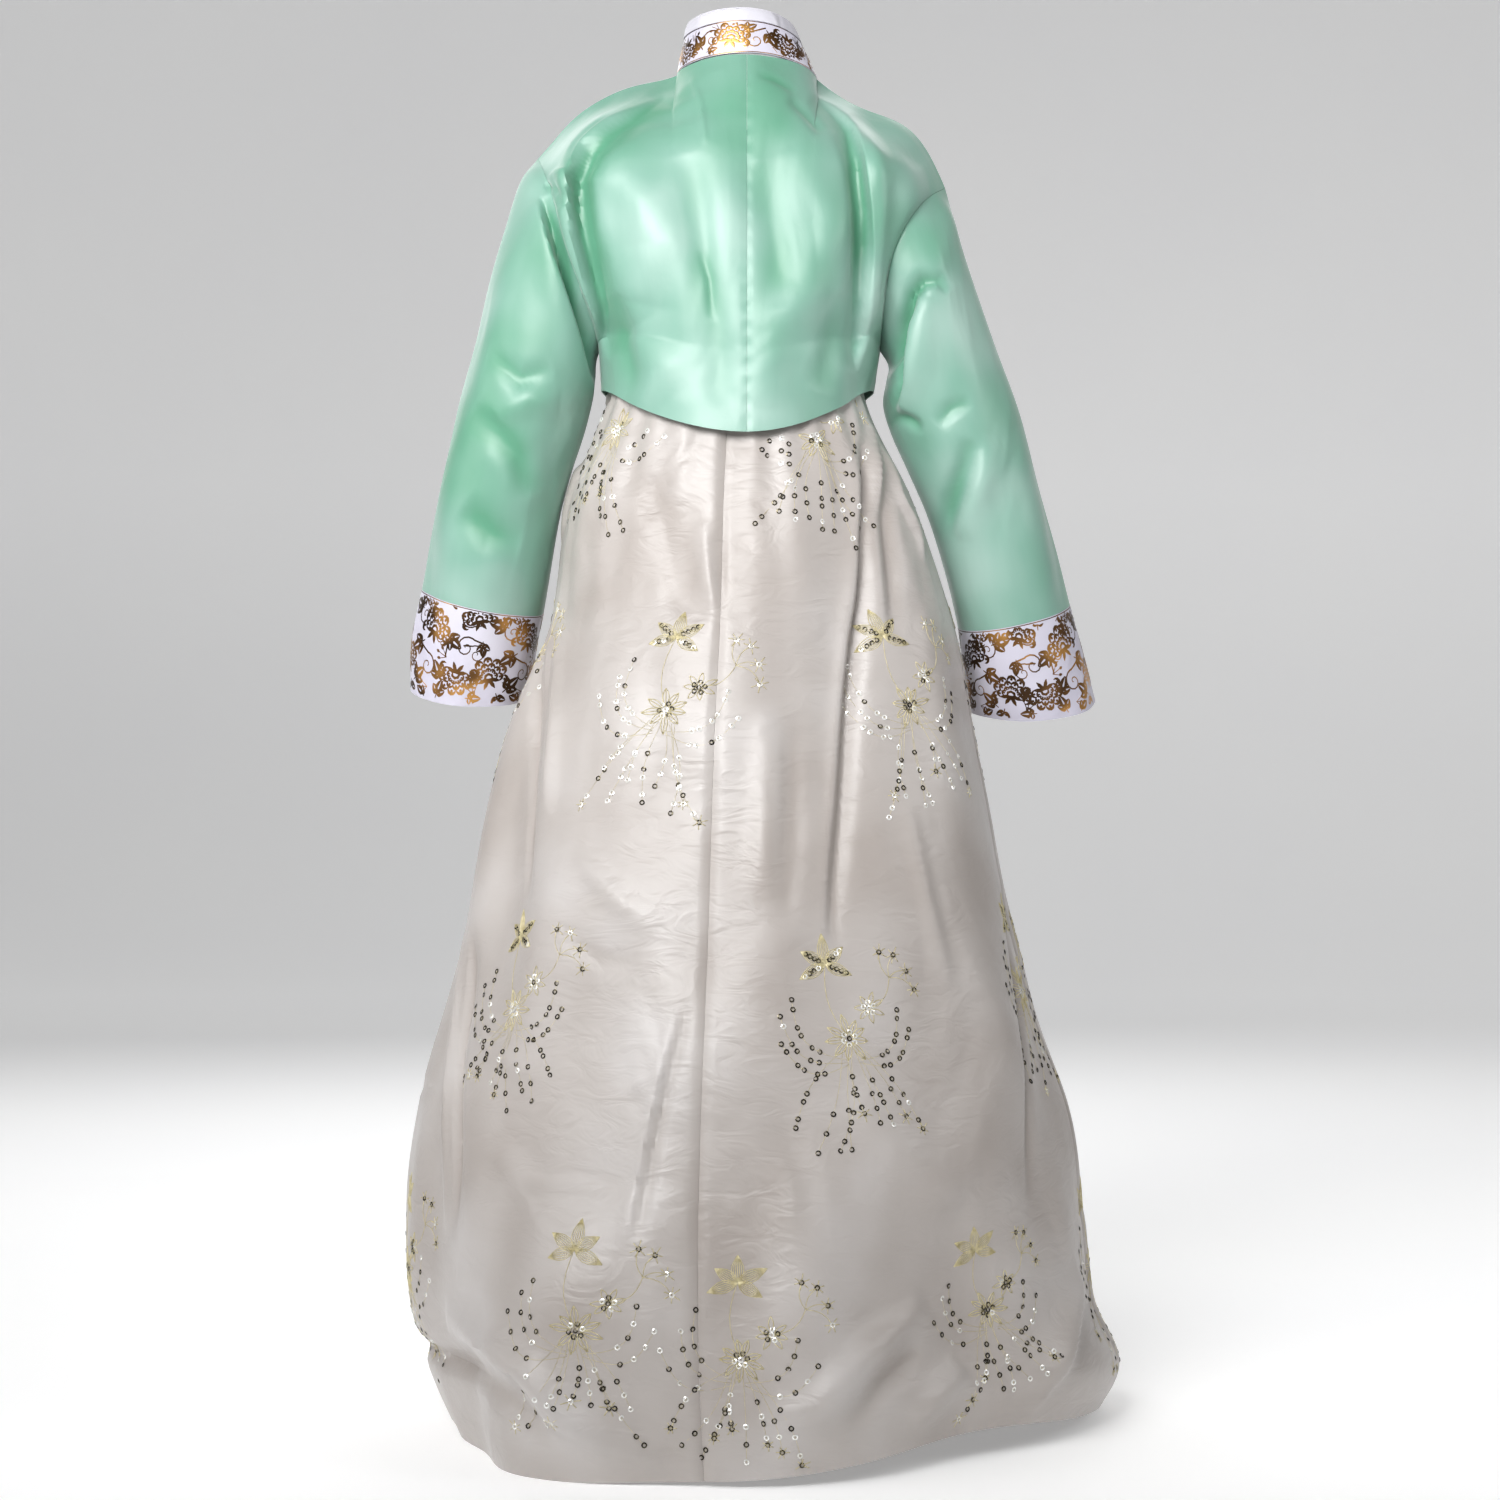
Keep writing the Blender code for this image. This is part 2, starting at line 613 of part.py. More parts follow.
def make_collar():
    frames = collar_frames()
    low = 2 * SEAM_GAP
    top = COLLAR_WIDTH
    start = top - EDGE_STRIP_REACH
    collar = (
        (low, 0.0),
        (start, 0.0),
        (top, 0.0),
        (top, -COLLAR_WALL),
        (start, -COLLAR_WALL),
        (low + COLLAR_BEVEL, -COLLAR_WALL),
    )
    swept("collar", frames, collar, "gold_print")
    path, across, out = frames
    near = SEAM_GAP
    far = SEAM_GAP + EDGE_STRIP_WALL
    strip = (
        (start, near),
        (top + near, near),
        (top + near, -COLLAR_WALL - near),
        (start, -COLLAR_WALL - near),
        (start, -COLLAR_WALL - far),
        (top + far, -COLLAR_WALL - far),
        (top + far, far),
        (start, far),
    )
    kept = slice(EDGE_STRIP_FIRST, -EDGE_STRIP_LAST)
    swept("collar_edge", (path[kept], across[kept], out[kept]), strip, "white_cloth")


def skirt_points(angles, heights, pleated=True):
    """The skirt's outer face. Angles in degrees from the centre back towards the wearer's left."""
    a = np.radians(angles)
    left = read(SKIRT_ROWS, SKIRT_COLUMNS, "height", "left", heights)
    right = read(SKIRT_ROWS, SKIRT_COLUMNS, "height", "right", heights)
    back = read(SKIRT_ROWS, SKIRT_COLUMNS, "height", "back", heights)
    front = read(SKIRT_ROWS, SKIRT_COLUMNS, "height", "front", heights)
    half_width = np.where(np.sin(a) >= 0, left, right)
    half_depth = np.where(np.cos(a) >= 0, back, front)
    x = half_width * np.sin(a)
    y = half_depth * np.cos(a)
    out = unit(np.stack([x / half_width**2, y / half_depth**2], axis=-1))
    rise = np.zeros(np.broadcast(a, heights).shape)
    for row in SKIRT_FOLDS:
        fold = dict(zip(FOLD_COLUMNS, row))
        length = fold["top"] - fold["bottom"]
        down = np.clip((fold["top"] - heights) / length, 0, 1)
        middle = fold["upper"] + (fold["lower"] - fold["upper"]) * down
        off = (angles - middle + 180) % 360 - 180
        fade = np.sin(math.pi * np.clip(down, 0, 1)) ** 0.7
        rise = rise + fold["rise"] * fade * np.exp(-((off / fold["spread"]) ** 2))
    if pleated:
        pleat = read(SKIRT_ROWS, SKIRT_COLUMNS, "height", "pleat", heights)
        rise = rise + pleat * np.sin(np.radians((angles - SEAM_ANGLE) * PLEATS))
    lift = read(HEM_LIFT_ROWS, HEM_LIFT_COLUMNS, "degrees", "lift", (angles + 180) % 360 - 180)
    z = heights - NECK_HEIGHT + lift * eased(1 - heights / HEM_LIFT_FADE)
    return np.stack([x + out[..., 0] * rise, y + out[..., 1] * rise, z], axis=-1)


def make_skirt():
    columns = PLEATS * CELLS_PER_PLEAT
    angles = SEAM_ANGLE + np.arange(columns) * 360.0 / columns
    heights = np.array(SKIRT_LEVELS[::-1])
    angles, heights = np.meshgrid(angles, heights)
    outer = skirt_points(angles, heights)
    inner = outer + grid_normals(outer, ring=True) * WALL
    if (inner[..., :2] ** 2).sum() > (outer[..., :2] ** 2).sum():
        inner = 2 * outer - inner
    inner[:, :, 2] = outer[:, :, 2]
    per_panel = columns // len(PANELS)
    for i, name in enumerate(PANELS):
        picked = np.arange(i * per_panel, (i + 1) * per_panel + 1) % columns
        make_wall(name, trimmed(outer[:, picked]), trimmed(inner[:, picked]), "ivory_satin")


def make_band():
    """The plain chest band that the skirt's pleats are gathered into."""
    angles = np.arange(BAND_COLUMNS) * 360.0 / BAND_COLUMNS
    heights = SKIRT_TOP + SEAM_GAP + np.array((BAND_HEIGHT, BAND_HEIGHT / 2, 0.0))
    angles, heights = np.meshgrid(angles, heights)
    outer = skirt_points(angles, heights, pleated=False)
    normals = grid_normals(outer, ring=True)
    if (outer[1] * normals[1])[:, :2].sum() < 0:
        normals = -normals
    normals[..., 2] = 0
    make_wall("skirt_band", outer, outer - unit(normals) * WALL, "white_cloth", ring=True)


def make_strap(side, back, front):
    """A strap under the jacket, from the band's back over the shoulder to its front."""
    foot = np.array(STRAP_FOOT[side]) * np.array((side_sign(side), 1.0, 1.0))
    halves = []
    for (grid, out), column, face in ((back, STRAP_COLUMN, 1.0), (front, STRAP_COLUMN + OVERLAP_CELLS, -1.0)):
        rows = slice(0, STRAP_ROWS_DOWN + 1)
        share = eased(np.linspace(0, 1, STRAP_ROWS_DOWN + 1))[:, None]
        clearance = STRAP_CLEARANCE_TOP + (STRAP_CLEARANCE_DOWN - STRAP_CLEARANCE_TOP) * eased(share * 3)
        under = grid[rows, column] - out[rows, column] * clearance
        halves.append(under * (1 - share) + foot * np.array((1.0, face, 1.0)) * share)
    middle = through(np.concatenate([halves[0][::-1], halves[1][1:]]), STRAP_POINTS)
    along = unit(np.gradient(middle, axis=0))
    tip = back[0][0, STRAP_COLUMN + 1] - back[0][0, STRAP_COLUMN]
    level = eased(1.3 * np.sin(np.linspace(0, math.pi, len(middle))))[:, None]
    flat = np.array((side_sign(side), 0.0, 0.0))
    across = unit(unit(tip) - along * (along @ unit(tip))[:, None])
    across = unit(flat * (1 - level) + across * level)
    out = unit(np.cross(along, across))
    if out[len(out) // 2, 2] < 0:
        out = -out
    for end in (0, -1):
        across[end] = (side_sign(side), 0.0, 0.0)
        out[end] = (0.0, np.sign(middle[end, 1]), 0.0)
    half = STRAP_WIDTH / 2
    section = ((-half, 0.0), (half, 0.0), (half, -WALL), (-half, -WALL))
    swept(f"skirt_strap_{side}", (middle, across, out), section, "white_cloth")


def tail_grid(top_x, bottom_x, bottom_z, gap):
    """A ribbon tail down the front: over the jacket, then on the skirt's front, a little off its face."""
    z = np.linspace(KNOT_CENTRE[2] - KNOT_HALF_HEIGHT - SEAM_GAP, bottom_z, TAIL_ROWS)
    t = (z[0] - z) / (z[0] - bottom_z)
    middle = top_x + (bottom_x - top_x) * t
    spread = TAIL_NARROW + (1 - TAIL_NARROW) * eased(t * 3)
    across = np.array((-0.5, 0.0, 0.5)) * RIBBON_WIDTH
    x = middle[:, None] + across[None] * spread[:, None]
    heights = np.broadcast_to((z + NECK_HEIGHT)[:, None], x.shape)
    half_width = read(SKIRT_ROWS, SKIRT_COLUMNS, "height", "left", heights)
    angles = 180 - np.degrees(np.arcsin(x / half_width))
    on_skirt = skirt_points(angles, heights, pleated=False)[..., 1] - RIBBON_OFF_SKIRT
    clear_of_jacket = -(HEM_HALF_DEPTH + FRONT_LIFT + RIBBON_OFF_JACKET)
    y = np.minimum(on_skirt, clear_of_jacket) - gap
    return np.stack([x, y, np.broadcast_to(z[:, None], x.shape)], axis=-1)


def make_tail(name, grid):
    normals = grid_normals(grid)
    if normals[0, 0, 1] > 0:
        normals = -normals
    make_wall(name, grid, grid - normals * RIBBON_WALL, "mint_satin")


def make_loop():
    """The bow's single loop: a flattened band of ribbon that stands on edge and reaches to the wearer's left."""
    a = np.linspace(0, 2 * math.pi, LOOP_COLUMNS, endpoint=False)
    start = KNOT_CENTRE[0] + KNOT_HALF_WIDTH + SEAM_GAP
    x = start + LOOP_LENGTH * (0.5 - 0.5 * np.cos(a)) ** 0.8
    share = (x - start) / LOOP_LENGTH
    y = KNOT_CENTRE[1] - LOOP_HALF_DEPTH * np.sin(a) * (0.55 + 0.45 * share)
    top = LOOP_NARROW + (1 - LOOP_NARROW) * eased(share * 2.2)
    rows = []
    for across in (0.5, 0.17, -0.17, -0.5):
        z = KNOT_CENTRE[2] - LOOP_DROP * share + across * RIBBON_WIDTH * top
        rows.append(np.stack([x, y, z], axis=-1))
    outer = np.array(rows)
    normals = grid_normals(outer, ring=True)
    middle = outer.mean(axis=1, keepdims=True)
    if ((outer - middle) * normals).sum() < 0:
        normals = -normals
    normals[..., 2] = 0
    make_wall("ribbon_loop", outer, outer - unit(normals) * RIBBON_WALL, "mint_satin", ring=True)


def make_knot():
    """The folded turn of ribbon that holds the bow, a soft flattened barrel."""
    a = np.linspace(0, 2 * math.pi, KNOT_COLUMNS, endpoint=False)
    rings = []
    for level, size in KNOT_ROWS:
        x = KNOT_CENTRE[0] + KNOT_HALF_WIDTH * size * np.cos(a)
        y = KNOT_CENTRE[1] + KNOT_HALF_DEPTH * size * np.sin(a)
        z = KNOT_CENTRE[2] + KNOT_HALF_HEIGHT * level + 0 * a
        rings.append(np.stack([x, y, z], axis=-1))
    rings = np.array(rings)
    count = len(a)
    faces = []
    for r in range(len(rings) - 1):
        for c in range(count):
            d = (c + 1) % count
            faces.append((r * count + c, (r + 1) * count + c, (r + 1) * count + d, r * count + d))
    last = (len(rings) - 1) * count
    faces.append(tuple(range(count)))
    faces.append(tuple(last + c for c in reversed(range(count))))
    make_object("ribbon_knot", rings.reshape(-1, 3), faces, "mint_satin")


def outward(normals, points, centre):
    """Normals turned so that they point away from the centre line given."""
    if ((points - centre) * normals).sum() < 0:
        return -normals
    return normals


def make_jacket():
    left_back = back_half("left")
    right_back = back_half("right")
    back = np.concatenate([right_back[:, ::-1], left_back[:, 1:]], axis=1)
    fronts = {
        "left": front_half("left", 1.0, OUTER_OVERLAP_ANGLE, FRONT_LIFT),
        "right": front_half("right", INNER_NECKLINE_END, INNER_OVERLAP_ANGLE, 0.0),
    }
    chest = np.array((0.0, 0.0, -0.16))
    back_normals = outward(grid_normals(back), back, chest)
    middle = right_back.shape[1] - 1
    panels = {
        "left": (back[:, middle:], back_normals[:, middle:]),
        "right": (back[:, : middle + 1][:, ::-1], back_normals[:, : middle + 1][:, ::-1]),
    }
    for side, rows, cuff_rows in (
        ("left", LEFT_SLEEVE_ROWS, LEFT_CUFF_ROWS),
        ("right", RIGHT_SLEEVE_ROWS, RIGHT_CUFF_ROWS),
    ):
        back_grid, back_out = panels[side]
        front_grid = fronts[side]
        front_out = outward(grid_normals(front_grid), front_grid, chest)
        sleeve, cuff = sleeve_grids(side, rows, cuff_rows)
        tube = np.concatenate([sleeve, cuff[1:]])
        tube_out = grid_normals(tube, ring=True)
        axis = tube.mean(axis=1, keepdims=True)
        tube_out = outward(tube_out, tube, axis)
        cells = ARMHOLE_CELLS
        share_back = unit(back_out[: cells + 1, -1] + tube_out[0, : cells + 1])
        ring_front = np.concatenate([tube_out[0, :1], tube_out[0, :cells - 1:-1]])
        share_front = unit(front_out[: cells + 1, -1] + ring_front)
        shoulder = slice(NECK_CELLS, None)
        front_shoulder = slice(OVERLAP_CELLS + NECK_CELLS, None)
        ridge = unit(back_out[0, shoulder] + front_out[0, front_shoulder])
        seam = unit(back_out[cells:, -1] + front_out[cells:, -1])
        tip = unit(share_back[0] + share_front[0])
        pit = unit(share_back[cells] + share_front[cells])
        share_back[0] = share_front[0] = ridge[-1] = tip
        share_back[cells] = share_front[cells] = seam[0] = pit
        back_out[: cells + 1, -1] = share_back
        front_out[: cells + 1, -1] = share_front
        back_out[0, shoulder] = ridge
        front_out[0, front_shoulder] = ridge
        back_out[cells:, -1] = seam
        front_out[cells:, -1] = seam
        tube_out[0, : cells + 1] = share_back
        tube_out[0, cells + 1 :] = share_front[-2:0:-1]
        make_strap(side, (back_grid, back_out), (front_grid, front_out))
        make_panel(f"jacket_back_{side}", back_grid, back_out)
        if side == "left":
            centre = OVERLAP_CELLS
            make_panel("jacket_overlap", front_grid[:, : centre + 1], front_out[:, : centre + 1])
            make_panel("jacket_front_left", front_grid[:, centre:], front_out[:, centre:])
        else:
            make_panel("jacket_front_right", front_grid, front_out)
        count = len(sleeve)
        make_tube(f"sleeve_{side}", tube[:count], tube_out[:count], "mint_satin")
        make_tube(f"cuff_{side}", tube[count - 1 :], tube_out[count - 1 :], "gold_print")


def make_panel(name, grid, out):
    """A jacket panel from its outer grid, drawn in by half a gap at each sewn edge."""
    inner = grid - out * WALL
    outer = trimmed_rows(trimmed(grid), end=0.0)
    inner = trimmed_rows(trimmed(inner), end=0.0)
    make_wall(name, outer, inner, "mint_satin")


def make_tube(name, rings, out, finish):
    inner = rings - out * WALL
    outer = trimmed_rows(rings, start=SEAM_GAP)
    inner = trimmed_rows(inner, start=SEAM_GAP)
    make_wall(name, outer, inner, finish, ring=True)


def main():
    for obj in list(bpy.data.objects):
        bpy.data.objects.remove(obj, do_unlink=True)
    make_jacket()
    make_collar()
    make_skirt()
    make_band()
    make_knot()
    make_loop()
    make_tail("ribbon_tail_long", tail_grid(*LONG_TAIL, 0.0))
    make_tail("ribbon_tail_short", tail_grid(*SHORT_TAIL, TAIL_LAYER))


main()
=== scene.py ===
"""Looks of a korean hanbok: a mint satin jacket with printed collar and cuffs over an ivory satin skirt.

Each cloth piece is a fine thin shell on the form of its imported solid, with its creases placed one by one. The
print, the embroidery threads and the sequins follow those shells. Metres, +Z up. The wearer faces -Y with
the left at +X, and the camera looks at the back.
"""

import math

import bpy
import numpy as np
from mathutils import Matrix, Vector


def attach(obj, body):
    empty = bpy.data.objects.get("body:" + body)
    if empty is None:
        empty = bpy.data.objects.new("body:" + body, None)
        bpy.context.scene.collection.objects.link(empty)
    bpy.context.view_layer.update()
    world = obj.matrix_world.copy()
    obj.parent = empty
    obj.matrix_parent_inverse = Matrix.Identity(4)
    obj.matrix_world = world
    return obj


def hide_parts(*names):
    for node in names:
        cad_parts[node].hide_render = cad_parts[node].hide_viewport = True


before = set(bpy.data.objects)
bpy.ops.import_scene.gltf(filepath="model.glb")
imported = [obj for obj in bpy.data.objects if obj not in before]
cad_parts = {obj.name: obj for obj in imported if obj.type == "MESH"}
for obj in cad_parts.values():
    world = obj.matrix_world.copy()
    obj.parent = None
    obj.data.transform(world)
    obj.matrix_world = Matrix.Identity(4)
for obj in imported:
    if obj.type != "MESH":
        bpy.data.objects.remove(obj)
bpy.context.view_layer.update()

MM = 0.001
COLLAR_WALL = 0.0022

# Heights, above the hem unless a name says otherwise
NECK_HEIGHT = 1.325
SKIRT_TOP = 1.105
BAND_HEIGHT = 0.095

# Jacket body: places on the wearer's half at one side
NECK_BACK = 0.062
NECK_BACK_RISE = 0.013
NECK_SIDE = {"left": (0.070, 0.005), "right": (0.070, 0.001)}
SHOULDER_DOME = {"left": (0.021, 1.3), "right": (0.025, 2.2)}  # height, and how far out its top is
HEM_HALF_DEPTH = 0.138
HEM_CENTRE_Z = -0.366
HEM_SIDE_RISE = 0.054
FRONT_LIFT = 0.0072

# Collar and its white edge
COLLAR_WIDTH = 0.049
COLLAR_AIM = np.array((0.027, 0.004, 0.20))
COLLAR_CHEST_CLEARANCE = 0.0012
EDGE_STRIP_REACH = 0.0135

# Skirt
PLEATS = 28
SEAM_ANGLE = 7.5
PANELS = ("skirt_back_left", "skirt_front_left", "skirt_front_right", "skirt_back_right")

# Ribbons
RIBBON_WIDTH = 0.052
RIBBON_OFF_SKIRT = 0.005
RIBBON_OFF_JACKET = 0.0065
TAIL_LAYER = 0.0035
TAIL_NARROW = 0.45

# Skirt outline: height above the hem, half widths at the wearer's left and right, half depths, pleat depth
SKIRT_COLUMNS = ("height", "left", "right", "back", "front", "pleat")
SKIRT_ROWS = (
    (0.000, 0.292, 0.344, 0.328, 0.322, 0.0),
    (0.030, 0.305, 0.360, 0.328, 0.322, 0.0),
    (0.105, 0.331, 0.338, 0.318, 0.314, 0.0),
    (0.205, 0.338, 0.331, 0.300, 0.298, 0.0),
    (0.305, 0.325, 0.319, 0.279, 0.278, 0.0),
    (0.405, 0.299, 0.286, 0.256, 0.257, 0.0),
    (0.505, 0.273, 0.260, 0.231, 0.233, 0.0),
    (0.605, 0.252, 0.242, 0.206, 0.209, 0.0),
    (0.680, 0.231, 0.225, 0.188, 0.191, 0.0),
    (0.765, 0.200, 0.211, 0.168, 0.171, 0.0002),
    (0.905, 0.174, 0.166, 0.140, 0.142, 0.0010),
    (1.005, 0.138, 0.118, 0.118, 0.118, 0.0018),
    (1.105, 0.125, 0.108, 0.104, 0.104, 0.0026),
    (1.205, 0.127, 0.112, 0.103, 0.103, 0.0000),
)

# Soft folds of the skirt: degrees from the centre back towards the wearer's left at the upper and lower end,
# half width in degrees, height of the ridge (minus for a trough), heights where it starts and ends
FOLD_COLUMNS = ("upper", "lower", "spread", "rise", "top", "bottom")
SKIRT_FOLDS = (
    (-34, -15, 9, -0.010, 0.98, 0.40),
    (-60, -48, 11, 0.008, 0.98, 0.30),
    (72, 50, 9, -0.009, 0.85, 0.30),
    (80, 66, 8, 0.008, 0.75, 0.25),
    (70, 60, 7, -0.010, 0.48, 0.02),
    (-77, -54, 9, -0.009, 0.52, 0.10),
    (9, 20, 9, 0.007, 0.46, 0.05),
    (30, 42, 15, 0.036, 0.26, -0.22),
    (-36, -42, 15, -0.022, 0.24, -0.24),
    (-12, -6, 10, 0.010, 0.30, -0.10),
    (-84, -84, 9, 0.010, 0.20, -0.10),
    (118, 112, 11, 0.012, 0.55, -0.10),
    (138, 134, 9, -0.010, 0.80, -0.05),
    (158, 160, 12, 0.012, 0.60, -0.20),
    (183, 186, 11, -0.010, 0.88, -0.10),
    (206, 210, 12, 0.011, 0.75, -0.15),
    (228, 232, 10, -0.011, 0.86, -0.10),
    (250, 253, 10, 0.011, 0.65, -0.15),
)

# How far the skirt's hem is off the ground: degrees from the centre back towards the wearer's left, height
HEM_LIFT_COLUMNS = ("degrees", "lift")
HEM_LIFT_ROWS = (
    (-180, 0.000),
    (-110, 0.004),
    (-75, 0.012),
    (-43, 0.027),
    (-26, 0.021),
    (0, 0.005),
    (20, 0.000),
    (180, 0.000),
)
HEM_LIFT_FADE = 0.24

# Jacket centre back: share of the way down, half depth, height
CENTRE_BACK_COLUMNS = ("down", "y", "z")
CENTRE_BACK_ROWS = (
    (0.00, 0.062, 0.012),
    (0.12, 0.086, -0.034),
    (0.30, 0.110, -0.105),
    (0.55, 0.125, -0.205),
    (0.80, 0.132, -0.292),
    (1.00, 0.138, -0.366),
)

# Half depth of the jacket's body at the back and the front, by height
TORSO_COLUMNS = ("z", "back", "front")
TORSO_ROWS = (
    (-0.366, 0.138, 0.138),
    (-0.292, 0.134, 0.137),
    (-0.205, 0.128, 0.133),
    (-0.160, 0.121, 0.124),
    (-0.120, 0.112, 0.112),
    (-0.070, 0.099, 0.089),
    (-0.030, 0.083, 0.066),
    (0.012, 0.066, 0.050),
)
ROUNDED_FROM = 0.30  # share of the way down where the cross-section is fully round
LIFT_FADE_END = 0.100
LIFT_FADE_WIDTH = 0.055

# The deep fold between the back and each sleeve: height, distances from the centre at the wearer's left and right
FOLD_LINE_COLUMNS = ("z", "left", "right")
FOLD_LINE_ROWS = (
    (-0.345, 0.128, 0.103),
    (-0.303, 0.133, 0.106),
    (-0.265, 0.138, 0.110),
    (-0.220, 0.148, 0.114),
    (-0.180, 0.160, 0.117),
    (-0.140, 0.166, 0.1165),
    (-0.100, 0.169, 0.112),
    (-0.075, 0.157, 0.107),
    (-0.050, 0.131, 0.100),
    (-0.030, 0.105, 0.085),
    (-0.010, 0.075, 0.062),
)
FOLD_RIDGE = 0.004
FOLD_TROUGH = 0.008
FOLD_SPREAD = 0.013
FOLD_RIDGE_OUT = 0.018

# Armhole and side seam, from the shoulder point to the hem: share of the way down, distances from the centre
# at the wearer's left and right, half depths, heights
EDGE_COLUMNS = ("down", "left", "right", "left_y", "right_y", "left_z", "right_z")
EDGE_ROWS = (
    (0.00, 0.209, 0.198, 0.000, 0.000, -0.078, -0.108),
    (0.14, 0.200, 0.182, 0.036, 0.038, -0.101, -0.123),
    (0.36, 0.183, 0.154, 0.061, 0.064, -0.154, -0.158),
    (0.58, 0.163, 0.137, 0.054, 0.056, -0.212, -0.205),
    (0.72, 0.150, 0.133, 0.028, 0.029, -0.254, -0.252),
    (0.78, 0.147, 0.132, 0.000, 0.000, -0.268, -0.268),
    (1.00, 0.144, 0.124, 0.000, 0.000, -0.312, -0.305),
)

# Sleeves: one row per ring from the armhole down to the cuff seam and the cuff's edge. The outer and inner
# points are in the front view, then come the ring's centre depth, half depth, and the drop of its back side.
SLEEVE_COLUMNS = ("outer_x", "outer_z", "inner_x", "inner_z", "centre_y", "half_depth", "back_drop")
LEFT_SLEEVE_ROWS = (
    (0.223, -0.100, 0.151, -0.282, 0.000, 0.064, 0.000),
    (0.240, -0.150, 0.152, -0.300, 0.001, 0.067, 0.002),
    (0.256, -0.205, 0.155, -0.324, 0.001, 0.068, 0.004),
    (0.273, -0.270, 0.162, -0.352, -0.002, 0.068, 0.006),
    (0.290, -0.335, 0.174, -0.388, -0.007, 0.068, 0.007),
    (0.306, -0.400, 0.185, -0.430, -0.014, 0.068, 0.008),
    (0.318, -0.458, 0.196, -0.481, -0.026, 0.069, 0.010),
    (0.327, -0.507, 0.205, -0.531, -0.041, 0.069, 0.012),
)
LEFT_CUFF_ROWS = (
    (0.327, -0.507, 0.205, -0.531, -0.041, 0.069, 0.012),
    (0.338, -0.556, 0.213, -0.571, -0.057, 0.068, 0.015),
    (0.344, -0.604, 0.220, -0.611, -0.073, 0.066, 0.019),
)
RIGHT_SLEEVE_ROWS = (
    (0.206, -0.136, 0.142, -0.286, 0.000, 0.068, 0.000),
    (0.216, -0.172, 0.140, -0.304, 0.001, 0.069, 0.002),
    (0.229, -0.214, 0.138, -0.326, 0.001, 0.069, 0.004),
    (0.248, -0.270, 0.146, -0.354, -0.002, 0.068, 0.006),
    (0.273, -0.335, 0.162, -0.390, -0.007, 0.068, 0.007),
    (0.294, -0.405, 0.182, -0.436, -0.014, 0.068, 0.008),
    (0.312, -0.466, 0.200, -0.492, -0.026, 0.069, 0.010),
    (0.327, -0.522, 0.214, -0.546, -0.041, 0.069, 0.012),
)
RIGHT_CUFF_ROWS = (
    (0.327, -0.522, 0.214, -0.546, -0.041, 0.069, 0.012),
    (0.343, -0.572, 0.220, -0.588, -0.057, 0.068, 0.015),
    (0.356, -0.619, 0.226, -0.627, -0.074, 0.066, 0.018),
)

# Neckline on the wearer's left, from the side of the neck down to the collar's end past the centre front
NECKLINE_COLUMNS = ("along", "x", "y", "z")
NECKLINE_ROWS = (
    (0.00, 0.068, 0.000, 0.000),
    (0.22, 0.060, -0.044, -0.026),
    (0.44, 0.037, -0.086, -0.070),
    (0.68, 0.000, -0.111, -0.120),
    (1.00, -0.046, -0.126, -0.180),
)
NECKLINE_CENTRE = 0.68
INNER_NECKLINE_END = 0.86
OUTER_OVERLAP_ANGLE = -30
INNER_OVERLAP_ANGLE = -12

# Shoulder straps of the skirt: their width
STRAP_WIDTH = 0.034

# Bow: centre and half sizes of the knot, how far the loop reaches and drops, and the knot's rings
# (height from -1 to 1, share of the full size)
KNOT_CENTRE = np.array((-0.030, -0.1488, -0.196))
KNOT_HALF_WIDTH = 0.017
KNOT_HALF_HEIGHT = 0.024
KNOT_HALF_DEPTH = 0.0085
LOOP_LENGTH = 0.105
LOOP_DROP = 0.030
LOOP_HALF_DEPTH = 0.006
LOOP_NARROW = 0.5
KNOT_ROWS = ((1.0, 0.72), (0.8, 0.95), (0.3, 1.0), (-0.3, 1.0), (-0.8, 0.95), (-1.0, 0.72))

# Ribbon tails: distance from the centre at the knot and at the end, height of the end
LONG_TAIL = (-0.030, -0.028, -0.700)
SHORT_TAIL = (-0.034, -0.090, -0.600)

# Fine grid of the jacket body
NECK_CELLS = 36
SHOULDER_CELLS = 52
ARMHOLE_CELLS = 84
SIDE_SEAM_CELLS = 22
OVERLAP_CELLS = 24
COLLAR_INNER_POINTS = 60
COLLAR_BACK_POINTS = 28
COLLAR_OUTER_POINTS = 72
EDGE_FIRST_POINT = 13
EDGE_LAST_POINT = 163
SLEEVE_ROWS_PER_RING = 10
SKIRT_ROWS_DOWN = 150
CELLS_PER_PLEAT = 16
SHARP_ANGLE = 50

# Cloth thickness that shows, and gaps and clearances, in metres
SATIN_WALL = 0.0009
FINE_GAP = 0.0002
CLEAR_OF_SKIRT = 0.0006
SOFT_START = 0.005
CLEAR_START = 0.11
STRAP_SINK = 0.0042
SEQUIN_LIFT = 0.0003
THREAD_LIFT = 0.00005

# Satin: gloss, size of its tones, stretch and share of its streaks, and size and depth of wrinkles and weave
SATIN_SHINE = 0.62
BROAD_TONES = 7.0
STREAK_STRETCH = (60.0, 7.0, 1.0)
STREAK_TONE = 0.05
PUCKERS = 34.0
PUCKER_DEPTH = 0.003
CRUMPLE_DEPTH = 0.011
WEAVE_DEPTH = 0.0001
LONG_WRINKLES = (1.0, 1.0, 0.6)
GRAIN = 900.0

# Gentle swell of the cloth: how many sines, how much they run up and down, and each cloth's seed, size, height
WAVE_COUNT = 9
WAVE_UPRIGHT = 0.5
JACKET_WAVES = (3, 0.085, 0.0015)
SKIRT_WAVES = (8, 0.12, 0.0026)
COLLAR_WAVES = (12, 0.05, 0.0003)
BAND_WAVES = (31, 0.03, 0.0004)
